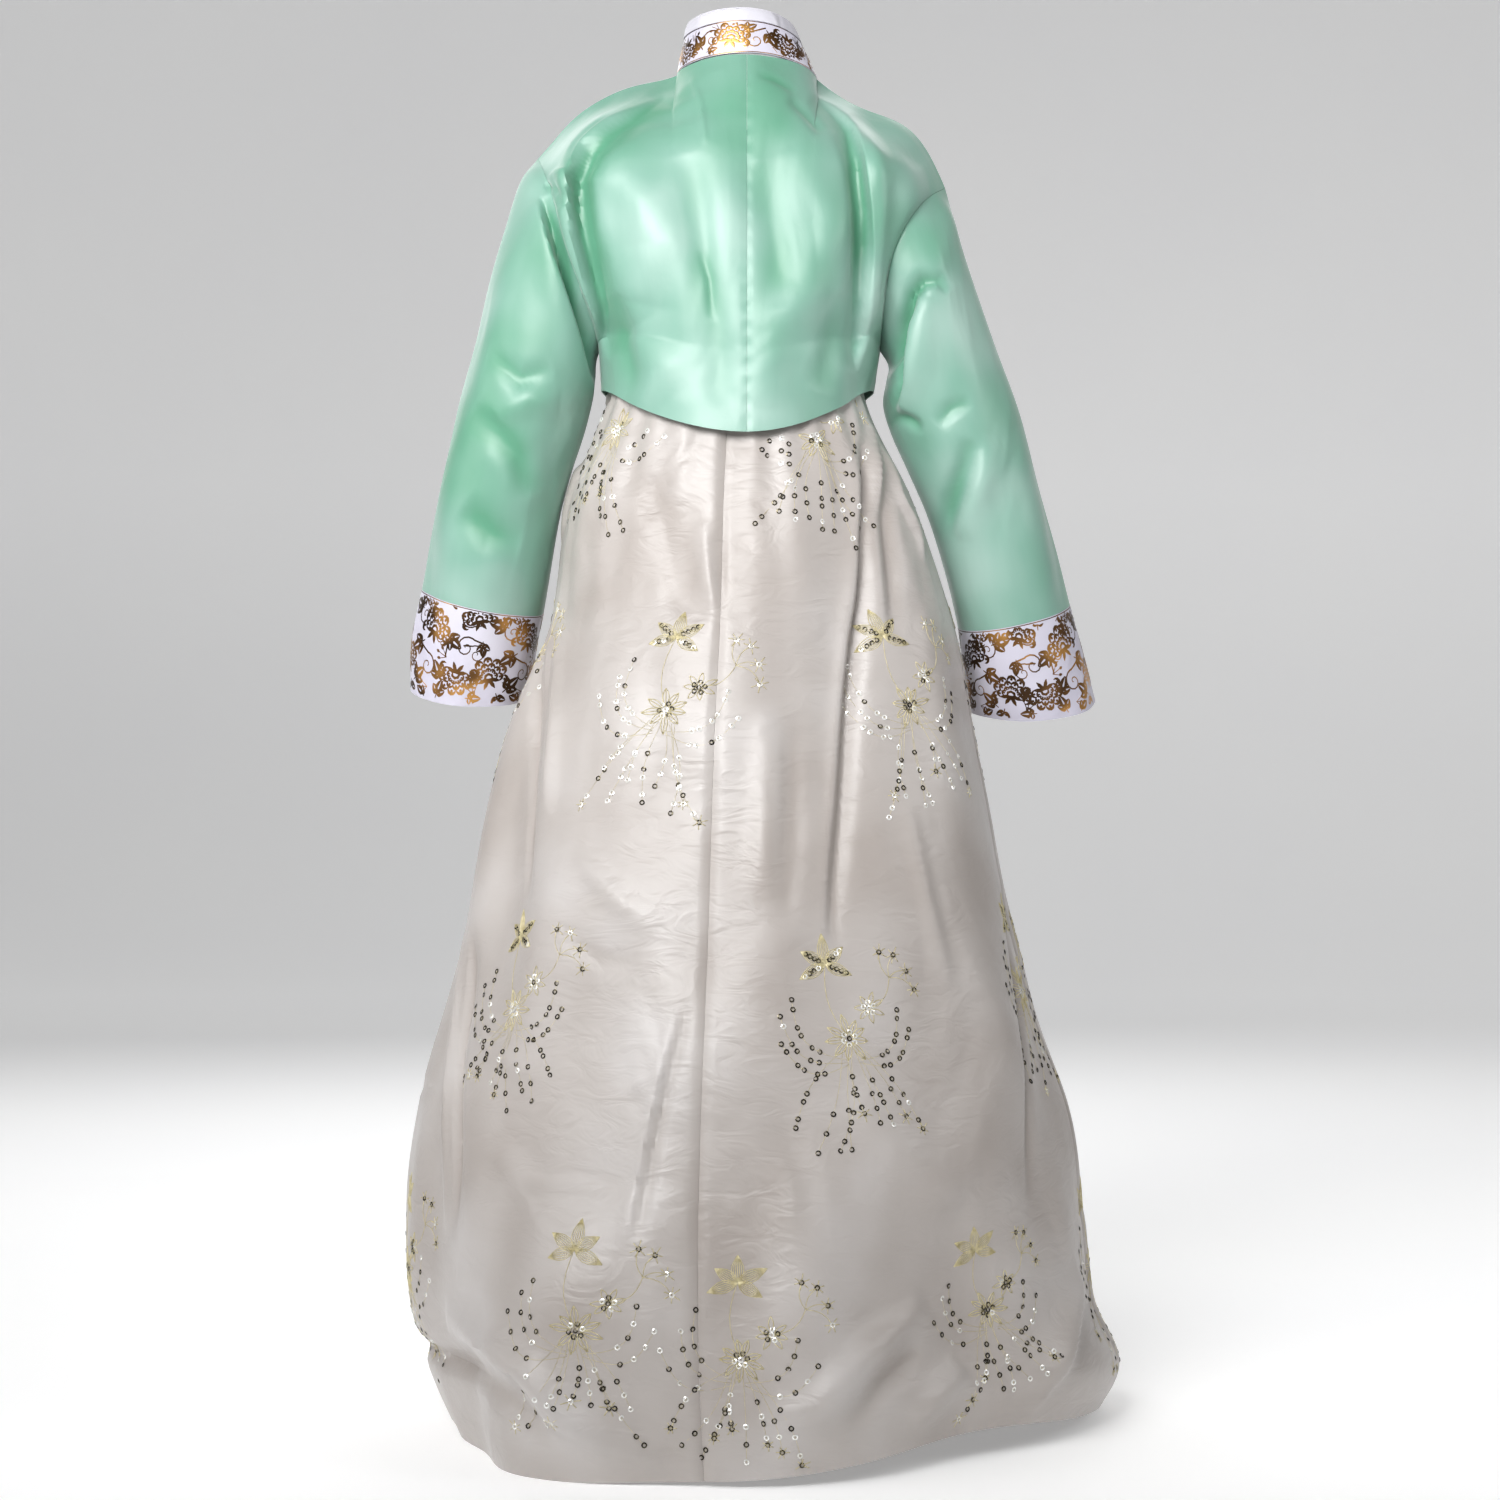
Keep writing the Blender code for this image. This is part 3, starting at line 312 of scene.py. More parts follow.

# Creases: how much they are deepened, how they fade at their ends and past the panel's face, and painted shade in
# their hollows (the depth where it is full, and how much it darkens the colour)
JACKET_CREASE_DEPTH = 1.7
SKIRT_CREASE_DEPTH = 1.6
CREASE_ENDS = 0.6
CREASE_REACH = 1.6
FOLD_ENDS = 0.7
UNDER_JACKET_CREASES = 0.3
PAINTED_SHADE_FULL_DEPTH = 0.009
PAINTED_SHADE_STRENGTH = 0.30

# Seams: how far the cloth dips into them and how wide, and the length of a pucker
SKIRT_SEAM_DIP = 0.0028
SKIRT_SEAM_WIDTH = 0.0045
SEAM_DIP = 0.0010
SEAM_ROLL = 0.004
SEAM_PUCKER = 0.018
STITCH_GAP = 0.0032

# Collar, band and bow: cells, pillow of the collar, puff of its edge, folds of the loop
COLLAR_CELLS = 12
COLLAR_PILLOW = 0.0007
EDGE_PUFF = 0.0010
BAND_COLUMNS = 144
BAND_ROWS = 13
LOOP_FOLDS = 0.0011

# Middle line of each strap from back to front, and its way out towards the shoulder
STRAP_MIDDLES = {
    "left": (
        (0.0660, 0.0868, -0.1240), (0.0700, 0.0867, -0.1171), (0.0784, 0.0746, -0.0891),
        (0.0863, 0.0370, -0.0436), (0.0892, -0.0017, -0.0043), (0.0863, -0.0344, -0.0423),
        (0.0784, -0.0700, -0.0878), (0.0699, -0.0855, -0.1166), (0.0660, -0.0868, -0.1240),
    ),
    "right": (
        (-0.0600, 0.0850, -0.1240), (-0.0632, 0.0854, -0.1179), (-0.0712, 0.0744, -0.0931),
        (-0.0810, 0.0373, -0.0521), (-0.0869, -0.0015, -0.0159), (-0.0807, -0.0354, -0.0506),
        (-0.0711, -0.0706, -0.0917), (-0.0631, -0.0843, -0.1174), (-0.0600, -0.0850, -0.1240),
    ),
}
STRAP_TIPS = {"left": (0.972, 0.0, -0.237), "right": (-0.844, 0.0, -0.536)}

# Creases, in millimetres: height, width at one side and the other, then the places of the line.
# On the jacket the places are (x, z), on the skirt (degrees, height).
BACK_CREASES = (
    (-6.5, 13, 3.5, (-65, -27), (-83, -42), (-100, -61), (-110, -95), (-116, -143), (-117, -181),
        (-114, -219), (-110, -264), (-106, -302)),
    (5.5, 3.5, 16, (-70, -26), (-89, -40), (-105, -59), (-115, -95), (-120, -143), (-121, -181),
        (-118, -219), (-115, -264), (-112, -302)),
    (-6.5, 3.5, 17, (80, -25), (128, -60), (154, -84), (167, -112), (165, -143), (161, -170), (148, -221),
        (139, -259), (135, -286)),
    (5.5, 11, 3.5, (93, -27), (135, -56), (162, -81), (174, -112), (173, -143), (168, -170), (154, -221),
        (144, -262), (138, -288)),
    (-8, 3, 9, (202, -127), (191, -165), (181, -200), (172, -233), (161, -271), (150, -305), (145, -330)),
    (6, 18, 3, (207, -127), (196, -165), (186, -200), (177, -233), (166, -271), (155, -305), (149, -330)),
    (-3, 4, 4, (200, -111), (191, -117), (181, -127), (176, -143)),
    (2.5, 5, 3, (198, -107), (187, -104), (177, -109), (172, -131)),
    (-7, 8, 5, (-197, -221), (-187, -212), (-173, -213), (-162, -226), (-155, -249), (-150, -278),
        (-148, -310), (-141, -337)),
    (5, 3, 16, (-171, -226), (-164, -249), (-160, -278), (-157, -310), (-148, -342)),
    (-4, 5, 5, (-137, -355), (-148, -340), (-159, -345), (-172, -354)),
    (-3, 5, 8, (-188, -352), (-200, -337), (-220, -330)),
    (-5, 9, 12, (-220, -365), (-205, -411), (-192, -454), (-187, -481)),
    (4, 10, 16, (-239, -365), (-227, -414), (-212, -461)),
    (-4, 14, 14, (273, -337), (243, -361), (224, -382), (212, -419)),
    (-4, 16, 16, (281, -432), (253, -457), (223, -466)),
    (-3, 9, 9, (257, -280), (222, -307), (191, -298)),
    (3, 12, 12, (248, -345), (214, -327), (184, -330)),
    (4, 22, 26, (141, -95), (103, -143), (88, -181), (103, -238)),
    (-3, 18, 14, (55, -95), (45, -171), (34, -229), (28, -277), (24, -344)),
    (3.5, 20, 20, (-51, -85), (-82, -162), (-62, -229), (-27, -267), (-17, -344)),
    (-3, 18, 16, (-12, -104), (-27, -181), (-34, -248)),
    (3, 18, 18, (103, -258), (83, -301), (93, -349)),
    (-3, 12, 14, (133, -229), (120, -277), (103, -325)),
    (-3, 14, 12, (-91, -229), (-85, -277), (-72, -325)),
    (-1.5, 4, 5, (-10, -10), (-28, -15), (-48, -26)),
    (-2, 6, 6, (-41, -35), (-57, -49), (-74, -70)),
    (-3, 14, 14, (-101, -45), (-130, -67), (-155, -82), (-174, -92)),
    (1.5, 3, 3, (55, -8), (45, -42), (40, -85)),
    (-1.5, 4, 5, (45, -191), (36, -219), (34, -258)),
)
SKIRT_CREASES = (
    (-7, 5, 10, (-57, 973), (-47.5, 932), (-39, 868), (-35, 820), (-29.5, 760), (-25.5, 682), (-22, 608),
        (-19, 535), (-17, 470)),
    (3, 12, 5, (-52.5, 973), (-45, 932), (-37.5, 868), (-33, 820), (-28, 760), (-24.5, 682), (-21, 608),
        (-18, 535), (-16, 470)),
    (4, 6, 6, (-66, 978), (-53, 927), (-47, 888)),
    (4, 6, 6, (-68, 950), (-61, 902), (-66.5, 868), (-64.5, 840)),
    (-5, 9, 9, (-58, 927), (-50.5, 878), (-46, 828), (-41, 760)),
    (4, 5, 5, (91, 1018), (87.5, 990), (87.5, 953), (87.5, 920), (87.5, 863)),
    (-6, 5, 8, (70, 1010), (88.5, 995), (87.5, 970), (87, 943), (72, 893)),
    (-1.8, 3.5, 4, (23, 955), (29, 932), (32, 922)),
    (-1.8, 3.5, 4, (17.5, 950), (25.5, 922), (29.5, 915)),
    (-1.8, 3.5, 3.5, (33, 912), (28, 915), (20.5, 907)),
    (-4, 14, 26, (46.5, 955), (40.5, 920), (32, 895), (26.5, 878), (23.5, 843), (20.5, 800), (9.5, 772)),
    (3, 10, 6, (13.5, 875), (11, 818), (7, 772)),
    (-1.3, 3.5, 3.5, (-1, 893), (-4, 888), (-8, 878)),
    (-1.3, 3.5, 3.5, (5.5, 858), (2, 853), (-2, 845)),
    (-1.3, 3.5, 3.5, (7, 958), (2.5, 953), (-3, 945)),
    (-5, 8, 8, (87.5, 802), (70.5, 705), (58, 608), (51.5, 512)),
    (4, 10, 10, (72, 782), (55, 685), (48.5, 588)),
    (-6, 5, 12, (71.5, 480), (64, 367), (57.5, 285), (54, 203)),
    (4, 10, 5, (77.5, 478), (67.5, 365), (61.5, 283), (57.5, 200)),
    (-2, 4, 4, (94, 323), (69, 320), (62, 307)),
    (3, 5, 5, (12, 420), (14.5, 360), (16.5, 288), (18.5, 212)),
    (-3, 8, 5, (10.5, 422), (13, 360), (15, 288), (16.5, 212)),
    (1.5, 3.5, 3.5, (22, 335), (17.5, 350), (12.5, 360)),
    (3, 10, 10, (60, 388), (45.5, 365), (38, 355)),
    (3, 12, 12, (44.5, 283), (35.5, 242), (30.5, 210)),
    (-2, 8, 8, (39, 485), (28.5, 460), (20.5, 460)),
    (3, 12, 12, (37, 560), (26, 515), (17, 492)),
    (9, 10, 18, (58, 120), (40, 110), (32.5, 92), (29, 58), (22, 28), (14, 18)),
    (-8, 10, 12, (100, 68), (47.5, 85), (36.5, 70), (30, 37)),
    (-2, 8, 8, (18, 40), (14.5, 30), (10, 28)),
    (8, 20, 16, (-2.5, 45), (-10.5, 62), (-17.5, 98), (-30.5, 140)),
    (-6, 14, 14, (-28.5, 100), (-19, 68), (-14, 40)),
    (6, 14, 14, (-25.5, 25), (-31, 48), (-37, 65)),
    (9, 20, 9, (-74.5, 140), (-61, 85), (-52, 40), (-50.5, 15)),
    (-4, 8, 8, (-76.5, 487), (-70.5, 403), (-60, 320), (-56, 230)),
    (5, 25, 25, (-19.5, 345), (-26, 290), (-38, 240)),
    (3, 14, 14, (-5.5, 703), (-4.5, 608), (-2.5, 517)),
    (-3, 12, 12, (-11.5, 682), (-10, 590), (-8, 490)),
    (3, 10, 10, (-38, 608), (-40, 515), (-42.5, 430)),
)
FRONT_CREASES = (
    (-5, 4, 12, (75, -40), (105, -70), (120, -110), (124, -160), (120, -210), (112, -260), (106, -300)),
    (4, 14, 4, (82, -40), (111, -68), (126, -110), (130, -160), (126, -210), (118, -260)),
    (-5, 12, 4, (-72, -45), (-100, -75), (-113, -120), (-115, -170), (-110, -220), (-104, -270)),
    (-3, 6, 6, (-50, -200), (-75, -190), (-100, -170)),
    (2.5, 8, 8, (-45, -225), (-80, -240), (-105, -260)),
    (-3, 10, 8, (10, -230), (45, -250), (85, -250)),
    (-3, 16, 16, (50, -170), (60, -240), (55, -320)),
    (3, 18, 18, (-60, -200), (-55, -280), (-50, -340)),
    (-6, 4, 12, (190, -135), (178, -190), (168, -250), (158, -310)),
    (-4, 12, 12, (225, -330), (250, -370), (262, -410)),
    (4, 14, 14, (240, -300), (225, -360), (235, -430)),
    (-6, 12, 4, (-170, -140), (-163, -200), (-155, -260), (-150, -310)),
    (-4, 10, 12, (-175, -340), (-200, -370), (-225, -385)),
    (4, 14, 12, (-210, -370), (-205, -420), (-200, -470)),
)
FAR_CREASES = (
    (-6, 3, 12, (-52, 970), (-44, 850), (-38, 700), (-34, 550)),
    (-6, 12, 3, (50, 970), (44, 860), (36, 720), (30, 600)),
    (-5, 10, 10, (70, 700), (62, 500), (55, 350)),
    (5, 20, 20, (-70, 500), (-60, 350), (-52, 220)),
    (-4, 8, 8, (20, 500), (24, 350), (28, 200)),
    (4, 12, 12, (-18, 450), (-22, 300), (-25, 180)),
    (7, 14, 16, (-60, 120), (-42, 100), (-30, 60), (-15, 30)),
    (7, 18, 14, (10, 50), (28, 80), (45, 120)),
    (-6, 12, 12, (50, 60), (62, 90), (78, 100)),
)

# Print: foil section (across, height), the flower's rings (petals, reach, petal radius, width, spread in
# degrees), and the motifs of one repeat (kind, share of the repeat, height on the band, turn, size, mirror)
FOIL_SECTION = ((-1, 0.00008), (0, 0.00028), (1, 0.00008), (0, -0.0002))
BLOOM_RINGS = (
    (7, 0.78, 0.21, 0.17, 236), (6, 0.54, 0.18, 0.15, 214), (5, 0.32, 0.15, 0.12, 190), (3, 0.13, 0.1, 0.09, 150),
)
PRINT_REPEAT = 0.112
PRINT_MARGIN = 0.0015
LINE_WIDTH = 0.0009
CUFF_PRINT = (
    ("leaf", 0.22, 0.009, 200, 0.0140, 1), ("leaf", 0.62, 0.009, -20, 0.0140, -1),
    ("leaf", 0.02, 0.030, 100, 0.0120, 1), ("leaf", 0.42, 0.082, -70, 0.0120, 1),
    ("bloom", 0.12, 0.031, 10, 0.0205, 1), ("leaf", 0.31, 0.018, -50, 0.0171, 1),
    ("bloom", 0.50, 0.069, -15, 0.0211, 1), ("leaf", 0.34, 0.052, 120, 0.0171, 1),
    ("bloom", 0.80, 0.028, 170, 0.0199, 1), ("leaf", 0.63, 0.026, 30, 0.0160, -1),
    ("leaf", 0.70, 0.063, -120, 0.0160, 1), ("bloom", 0.95, 0.088, 20, 0.0188, 1),
    ("leaf", 0.20, 0.083, 80, 0.0171, -1), ("leaf", 0.74, 0.094, 10, 0.0160, 1),
    ("tendril", 0.47, 0.033, -100, 0.0108, -1), ("tendril", 0.87, 0.057, 60, 0.0108, 1),
    ("tendril", 0.30, 0.077, 150, 0.0097, 1), ("tendril", 0.98, 0.051, -70, 0.0091, -1),
    ("berries", 0.33, 0.100, -30, 0.0097, 1), ("berries", 0.66, 0.046, 70, 0.0091, 1),
    ("berries", 0.98, 0.016, 20, 0.0103, 1), ("berries", 0.46, 0.012, 100, 0.0091, 1),
    ("berries", 0.58, 0.099, 40, 0.0097, 1), ("leaf", 0.03, 0.061, 190, 0.0125, 1),
    ("leaf", 0.07, 0.101, 150, 0.0137, 1), ("bloom", 0.27, 0.096, -30, 0.0171, 1),
    ("leaf", 0.48, 0.094, 60, 0.0137, -1), ("bloom", 0.72, 0.105, 10, 0.0160, 1),
    ("tendril", 0.60, 0.062, -20, 0.0103, 1), ("tendril", 0.86, 0.086, 120, 0.0091, -1),
    ("leaf", 0.44, 0.004, 60, 0.0125, 1), ("leaf", 0.95, 0.008, -90, 0.0125, 1),
)
COLLAR_PRINT = (
    ("bloom", 0.10, 0.018, 10, 0.0182, 1), ("tendril", 0.27, 0.018, 30, 0.0108, 1),
    ("leaf", 0.39, 0.014, -30, 0.0154, 1), ("bloom", 0.60, 0.018, -160, 0.0177, 1),
    ("leaf", 0.78, 0.022, 150, 0.0154, -1), ("tendril", 0.90, 0.014, -100, 0.0097, -1),
    ("berries", 0.48, 0.026, 15, 0.0091, 1), ("berries", 0.23, 0.029, -60, 0.0080, 1),
    ("leaf", 0.97, 0.026, 60, 0.0108, 1), ("berries", 0.72, 0.008, 100, 0.0080, 1),
    ("leaf", 0.30, 0.006, 80, 0.0091, 1), ("leaf", 0.49, 0.009, 100, 0.0080, 1),
)

# Embroidered sprays: degrees from the centre back and height of each middle
THREAD_WIDTH = 0.0009
STEM_WIDTH = 0.0007
HAIR_WIDTH = 0.0004
SPRAY_SEED = 21
SPRAY_TURN = 9
SPRAY_DROP = 0.006
SEQUIN_SEED = 5
SEQUIN_TILT = 0.12
SEQUIN_FLATTENED = (1.0, 1.0, 0.45)
# Share of bright sequins, by whether the spray is above the lowest row, above the second and above the third
BRIGHT_SHARES = {
    (False, False, False): 0.35,
    (True, False, False): 0.12,
    (True, True, False): 0.72,
    (True, True, True): 0.25,
}
SPRAYS = (
    (56.5, 0.968), (-27.5, 0.953), (-112.0, 0.960), (136.0, 0.955),
    (92.0, 0.725), (20.0, 0.693), (-44.0, 0.698), (-98.0, 0.720), (-150.0, 0.690), (148.0, 0.705),
    (48.0, 0.410), (-19.0, 0.390), (-75.5, 0.420), (-124.0, 0.400), (178.0, 0.410), (112.0, 0.395),
    (77.0, 0.150), (25.0, 0.135), (1.0, 0.107), (-44.5, 0.122), (-86.0, 0.140), (-122.0, 0.120),
    (-158.0, 0.135), (163.0, 0.115), (122.0, 0.135),
)
SMALL_SHAPES = {
    "sequin": {"Middle radius": 0.0019, "Ring radius": 0.0009},
    "stitch": {"Thickness": 0.00025, "Stretch": 4.5},
}

# Studio: floor and backdrop, light of the surroundings, camera, and the soft lights (name, place, aim, size,
# power, spread in degrees)
FLOOR_Z = -1.327
WORLD_STRENGTH = 0.14
SURROUND_STRENGTH = 0.62
FLOOR_GLOW = 0.28
FLOOR_REACH = 7.5
BEND_START = -5.0
BEND_RADIUS = 1.5
BACKDROP_TOP = 5.0
CAMERA_PLACE = (-0.003, 3.0, -0.670)
CAMERA_LENS = 72
LIGHTS = (
    ("key_light", (0.85, 2.1, 0.65), (0.0, 0.1, -0.26), (1.7, 1.2), 14.8, 66),
    ("side_light", (-2.2, 1.0, 0.5), (0.0, 0.0, -0.3), (0.9, 1.2), 13.0, 180),
    ("far_side_light", (2.2, 0.9, 0.1), (0.0, 0.0, -0.4), (1.2, 1.4), 13.0, 180),
    ("front_light", (0.4, -2.4, 1.1), (0.0, 0.0, -0.5), (3.2, 2.2), 44.0, 180),
)


def eased(x):
    """0 below 0, 1 above 1, with a soft start and end between them."""
    x = np.clip(x, 0.0, 1.0)
    return x * x * (3 - 2 * x)


def read(rows, columns, key, name, at):
    """Column name of a table at the given places of column key, along a smooth curve through its rows."""
    table = np.array(rows, float)
    x = table[:, columns.index(key)]
    y = table[:, columns.index(name)]
    slopes = np.gradient(y, x)
    steps = np.diff(x)
    at = np.clip(np.asarray(at, float), x.min(), x.max())
    i = np.clip(np.searchsorted(x, at, side="right") - 1, 0, len(x) - 2)
    t = (at - x[i]) / steps[i]
    low = (1 + 2 * t) * (1 - t) ** 2 * y[i] + t * (1 - t) ** 2 * steps[i] * slopes[i]
    return low + t * t * (3 - 2 * t) * y[i + 1] + t * t * (t - 1) * steps[i] * slopes[i + 1]


def through(rows, count):
    """Evenly spaced parameters along a smooth curve through rows of points."""
    rows = np.array(rows, float)
    keys = np.linspace(0, 1, len(rows))
    at = np.linspace(0, 1, count)
    numbered = np.column_stack([keys, rows])
    names = ("key",) + tuple(range(rows.shape[1]))
    return np.stack([read(numbered, names, "key", n, at) for n in names[1:]], axis=-1)


def unit(vectors):
    return vectors / np.maximum(np.linalg.norm(vectors, axis=-1, keepdims=True), 1e-12)


def grid_normals(points, ring=False):
    """Unit normals of a grid of rows and columns. The columns of a ring join up."""
    if ring:
        across = np.roll(points, -1, axis=1) - np.roll(points, 1, axis=1)
    else:
        across = np.gradient(points, axis=1)
    down = np.gradient(points, axis=0)
    return unit(np.cross(down, across))


def trimmed(grid, start, end):
    """The grid with its first and last columns drawn in."""
    grid = grid.copy()
    grid[:, 0] += unit(grid[:, 1] - grid[:, 0]) * start
    grid[:, -1] += unit(grid[:, -2] - grid[:, -1]) * end
    return grid


def trimmed_rows(grid, start, end):
    return trimmed(grid.transpose(1, 0, 2), start, end).transpose(1, 0, 2)


def coons(top, bottom, left, right):
    """The grid that joins four edge curves: top and bottom run across, left and right run down."""
    u = np.linspace(0, 1, len(top))[None, :, None]
    v = np.linspace(0, 1, len(left))[:, None, None]
    across = (1 - u) * left[:, None] + u * right[:, None]
    down = (1 - v) * top[None] + v * bottom[None]
    corners = (1 - v) * ((1 - u) * top[0] + u * top[-1]) + v * ((1 - u) * bottom[0] + u * bottom[-1])
    return across + down - corners


def side_sign(side):
    return 1.0 if side == "left" else -1.0


def armhole_edge(side, face, shares):
    """The panel's outer edge, armhole then side seam. face is 1 on the back and -1 on the front."""
    x = read(EDGE_ROWS, EDGE_COLUMNS, "down", side, shares) * side_sign(side)
    y = read(EDGE_ROWS, EDGE_COLUMNS, "down", f"{side}_y", shares) * face
    z = read(EDGE_ROWS, EDGE_COLUMNS, "down", f"{side}_z", shares)
    return np.stack([x, y, z], axis=-1)


def neck_curve(side, angles):
    """The back of the neckline. Angles in degrees from the centre back."""
    a = np.radians(angles)
    wide, low = NECK_SIDE[side]
    x = side_sign(side) * wide * np.sin(a)
    return np.stack([x, NECK_BACK * np.cos(a), low + (NECK_BACK_RISE - low) * np.cos(a) ** 2], axis=-1)


def shoulder_line(side, count):
    """From the side of the neck to the shoulder point, slightly domed."""
    start = neck_curve(side, np.array([90.0]))[0]
    tip = armhole_edge(side, 1, np.array([0.0]))[0]
    t = np.linspace(0, 1, count)[:, None]
    height, lean = SHOULDER_DOME[side]
    dome = np.array((0.0, 0.0, height)) * np.sin(math.pi * t**lean)
    return start + (tip - start) * t + dome


def hem_line(side, face, angles):
    half_width = abs(armhole_edge(side, 1, np.array([1.0]))[0, 0])
    a = np.radians(angles)
    x = side_sign(side) * half_width * np.sin(a)
    y = face * HEM_HALF_DEPTH * np.cos(a)
    z = HEM_CENTRE_Z + HEM_SIDE_RISE * np.sin(a) ** 2
    return np.stack([x, y, z], axis=-1)


def down_shares():
    """Rows of the jacket body: the armhole's cells, then the side seam's."""
    armhole = np.linspace(0, 0.78, ARMHOLE_CELLS + 1)
    seam = np.linspace(0.78, 1.0, SIDE_SEAM_CELLS + 1)[1:]
    return np.concatenate([armhole, seam])


def torso_depth(z, face):
    """Half depth of the jacket's body at a height, at the back if face is 1 and the front if it is -1."""
    return read(TORSO_ROWS, TORSO_COLUMNS, "z", "back" if face > 0 else "front", z)


def rounded(grid, side, face, lift):
    """The grid with its depth taken from the figure's round cross-section, below the shoulders."""
    shares = down_shares()
    edge = armhole_edge(side, face, shares)
    depth = torso_depth(grid[..., 2], face)
    out_to = np.abs(edge[:, 0])[:, None]
    x = grid[..., 0] * side_sign(side)
    part = np.sqrt(np.clip(1 - (x / out_to) ** 2, 0, 1))
    y = np.abs(edge[:, 1])[:, None] + (depth - np.abs(edge[:, 1])[:, None]) * part
    y = y + lift * eased((LIFT_FADE_END - x) / LIFT_FADE_WIDTH)
    share = eased(shares / ROUNDED_FROM)[:, None]
    result = grid.copy()
    result[..., 1] = grid[..., 1] * (1 - share) + face * y * share
    return result


def folded(grid, side):
    """The back with the ridge and trough that run from beside the neck down to under the arm."""
    line = read(FOLD_LINE_ROWS, FOLD_LINE_COLUMNS, "z", side, grid[..., 2])
    off = grid[..., 0] * side_sign(side) - line
    rise = FOLD_RIDGE * np.exp(-(((off - FOLD_RIDGE_OUT) / FOLD_SPREAD) ** 2))
    rise -= FOLD_TROUGH * np.exp(-((off / FOLD_SPREAD) ** 2))
    down = np.linspace(0, 1, grid.shape[0])[:, None]
    across = np.linspace(0, 1, grid.shape[1])[None]
    rise = rise * eased(down * 5) * eased((1 - down) * 3.0) * eased((1 - across) * 6)
    result = grid.copy()
    result[..., 1] += rise
    return result


def back_half(side):
    neck = neck_curve(side, np.linspace(0, 90, NECK_CELLS + 1))
    top = np.concatenate([neck, shoulder_line(side, SHOULDER_CELLS + 1)[1:]])
    shares = down_shares()
    centre = np.stack(
        [
            np.zeros(len(shares)),
            read(CENTRE_BACK_ROWS, CENTRE_BACK_COLUMNS, "down", "y", shares),
            read(CENTRE_BACK_ROWS, CENTRE_BACK_COLUMNS, "down", "z", shares),
        ],
        axis=-1,
    )
    hem = hem_line(side, 1, np.linspace(0, 90, len(top)))
    edge = armhole_edge(side, 1, shares)
    hem[-1] = edge[-1]
    return folded(rounded(coons(top, hem, centre, edge), side, 1, 0.0), side)


def neckline(side, at, lift):
    """Points of the neckline seam on one front, lifted off the chest near the centre where fronts overlap."""
    s = side_sign(side)
    points = np.stack(
        [read(NECKLINE_ROWS, NECKLINE_COLUMNS, "along", n, at) for n in NECKLINE_COLUMNS[1:]], axis=-1
    )
    wide, low = NECK_SIDE[side]
    near = 1 - eased(np.asarray(at) / 0.5)
    points[:, 0] += (wide - NECKLINE_ROWS[0][1]) * near
    points[:, 2] += low * near
    points = points * np.array((s, 1.0, 1.0))
    out = unit(points * np.array((1.0, 1.0, 0.0)) + np.array((0.0, -0.02, 0.006)))
    return points + out * (lift * eased((np.asarray(at) - 0.12) / 0.22))[:, None]


def front_half(side, end, overlap_angle, lift):
    """One front with its overlap past the centre. end is where on the neckline the overlap's edge starts."""
    past = np.linspace(end, NECKLINE_CENTRE, OVERLAP_CELLS + 1)
    rise = np.linspace(NECKLINE_CENTRE, 0, NECK_CELLS + 1)[1:]
    neck = neckline(side, np.concatenate([past, rise]), lift)
    top = np.concatenate([neck, shoulder_line(side, SHOULDER_CELLS + 1)[1:]])
    shares = down_shares()
    past_angles = np.linspace(overlap_angle, 0, OVERLAP_CELLS + 1)
    angles = np.concatenate([past_angles, np.linspace(0, 90, NECK_CELLS + SHOULDER_CELLS + 1)[1:]])
    hem = hem_line(side, -1, angles)
    edge = armhole_edge(side, -1, shares)
    hem[-1] = edge[-1]
    t = shares[:, None]
    free_edge = top[0] * (1 - t) + hem[0] * t
    return rounded(coons(top, hem, free_edge, edge), side, -1, lift)


def sleeve_ring(side, row, count):
    """One ring of a sleeve. It starts at the top, and runs over the back to the underside."""
    value = dict(zip(SLEEVE_COLUMNS, row))
    a = np.linspace(0, 2 * math.pi, count, endpoint=False)
    s = side_sign(side)
    outer = np.array((s * value["outer_x"], value["outer_z"]))
    inner = np.array((s * value["inner_x"], value["inner_z"]))
    middle = (outer + inner) / 2
    flat = middle + (outer - middle) * np.cos(a)[:, None]
    y = value["centre_y"] + value["half_depth"] * np.sin(a)
    z = flat[:, 1] - value["back_drop"] * np.sin(a)
    return np.stack([flat[:, 0], y, z], axis=-1)


def armhole_ring(side):
    shares = down_shares()[: ARMHOLE_CELLS + 1]
    back = armhole_edge(side, 1, shares)
    front = armhole_edge(side, -1, shares)
    back[0, 1] = front[0, 1] = 0.0
    ring = np.concatenate([back, front[-2:0:-1]])
    ring[ARMHOLE_CELLS, 1] = 0.0
    return ring


def sleeve_grids(side, rows, cuff_rows):
    """The sleeve's rings from the armhole down to the cuff seam, and the cuff's."""
    count = 2 * ARMHOLE_CELLS
    rings = [armhole_ring(side)] + [sleeve_ring(side, row, count) for row in rows]
    sleeve = np.array(rings)
    cuff = np.array([sleeve_ring(side, row, count) for row in cuff_rows])
    return sleeve, cuff


def chest_depth(x, z):
    """Half depth of the jacket's front at a distance from the centre and a height."""
    by_height = EDGE_ROWS[::-1]
    half = read(by_height, EDGE_COLUMNS, "left_z", "left", z)
    edge = read(by_height, EDGE_COLUMNS, "left_z", "left_y", z)
    part = np.sqrt(np.clip(1 - (x / half) ** 2, 0, 1))
    return edge + (torso_depth(z, -1) - edge) * part


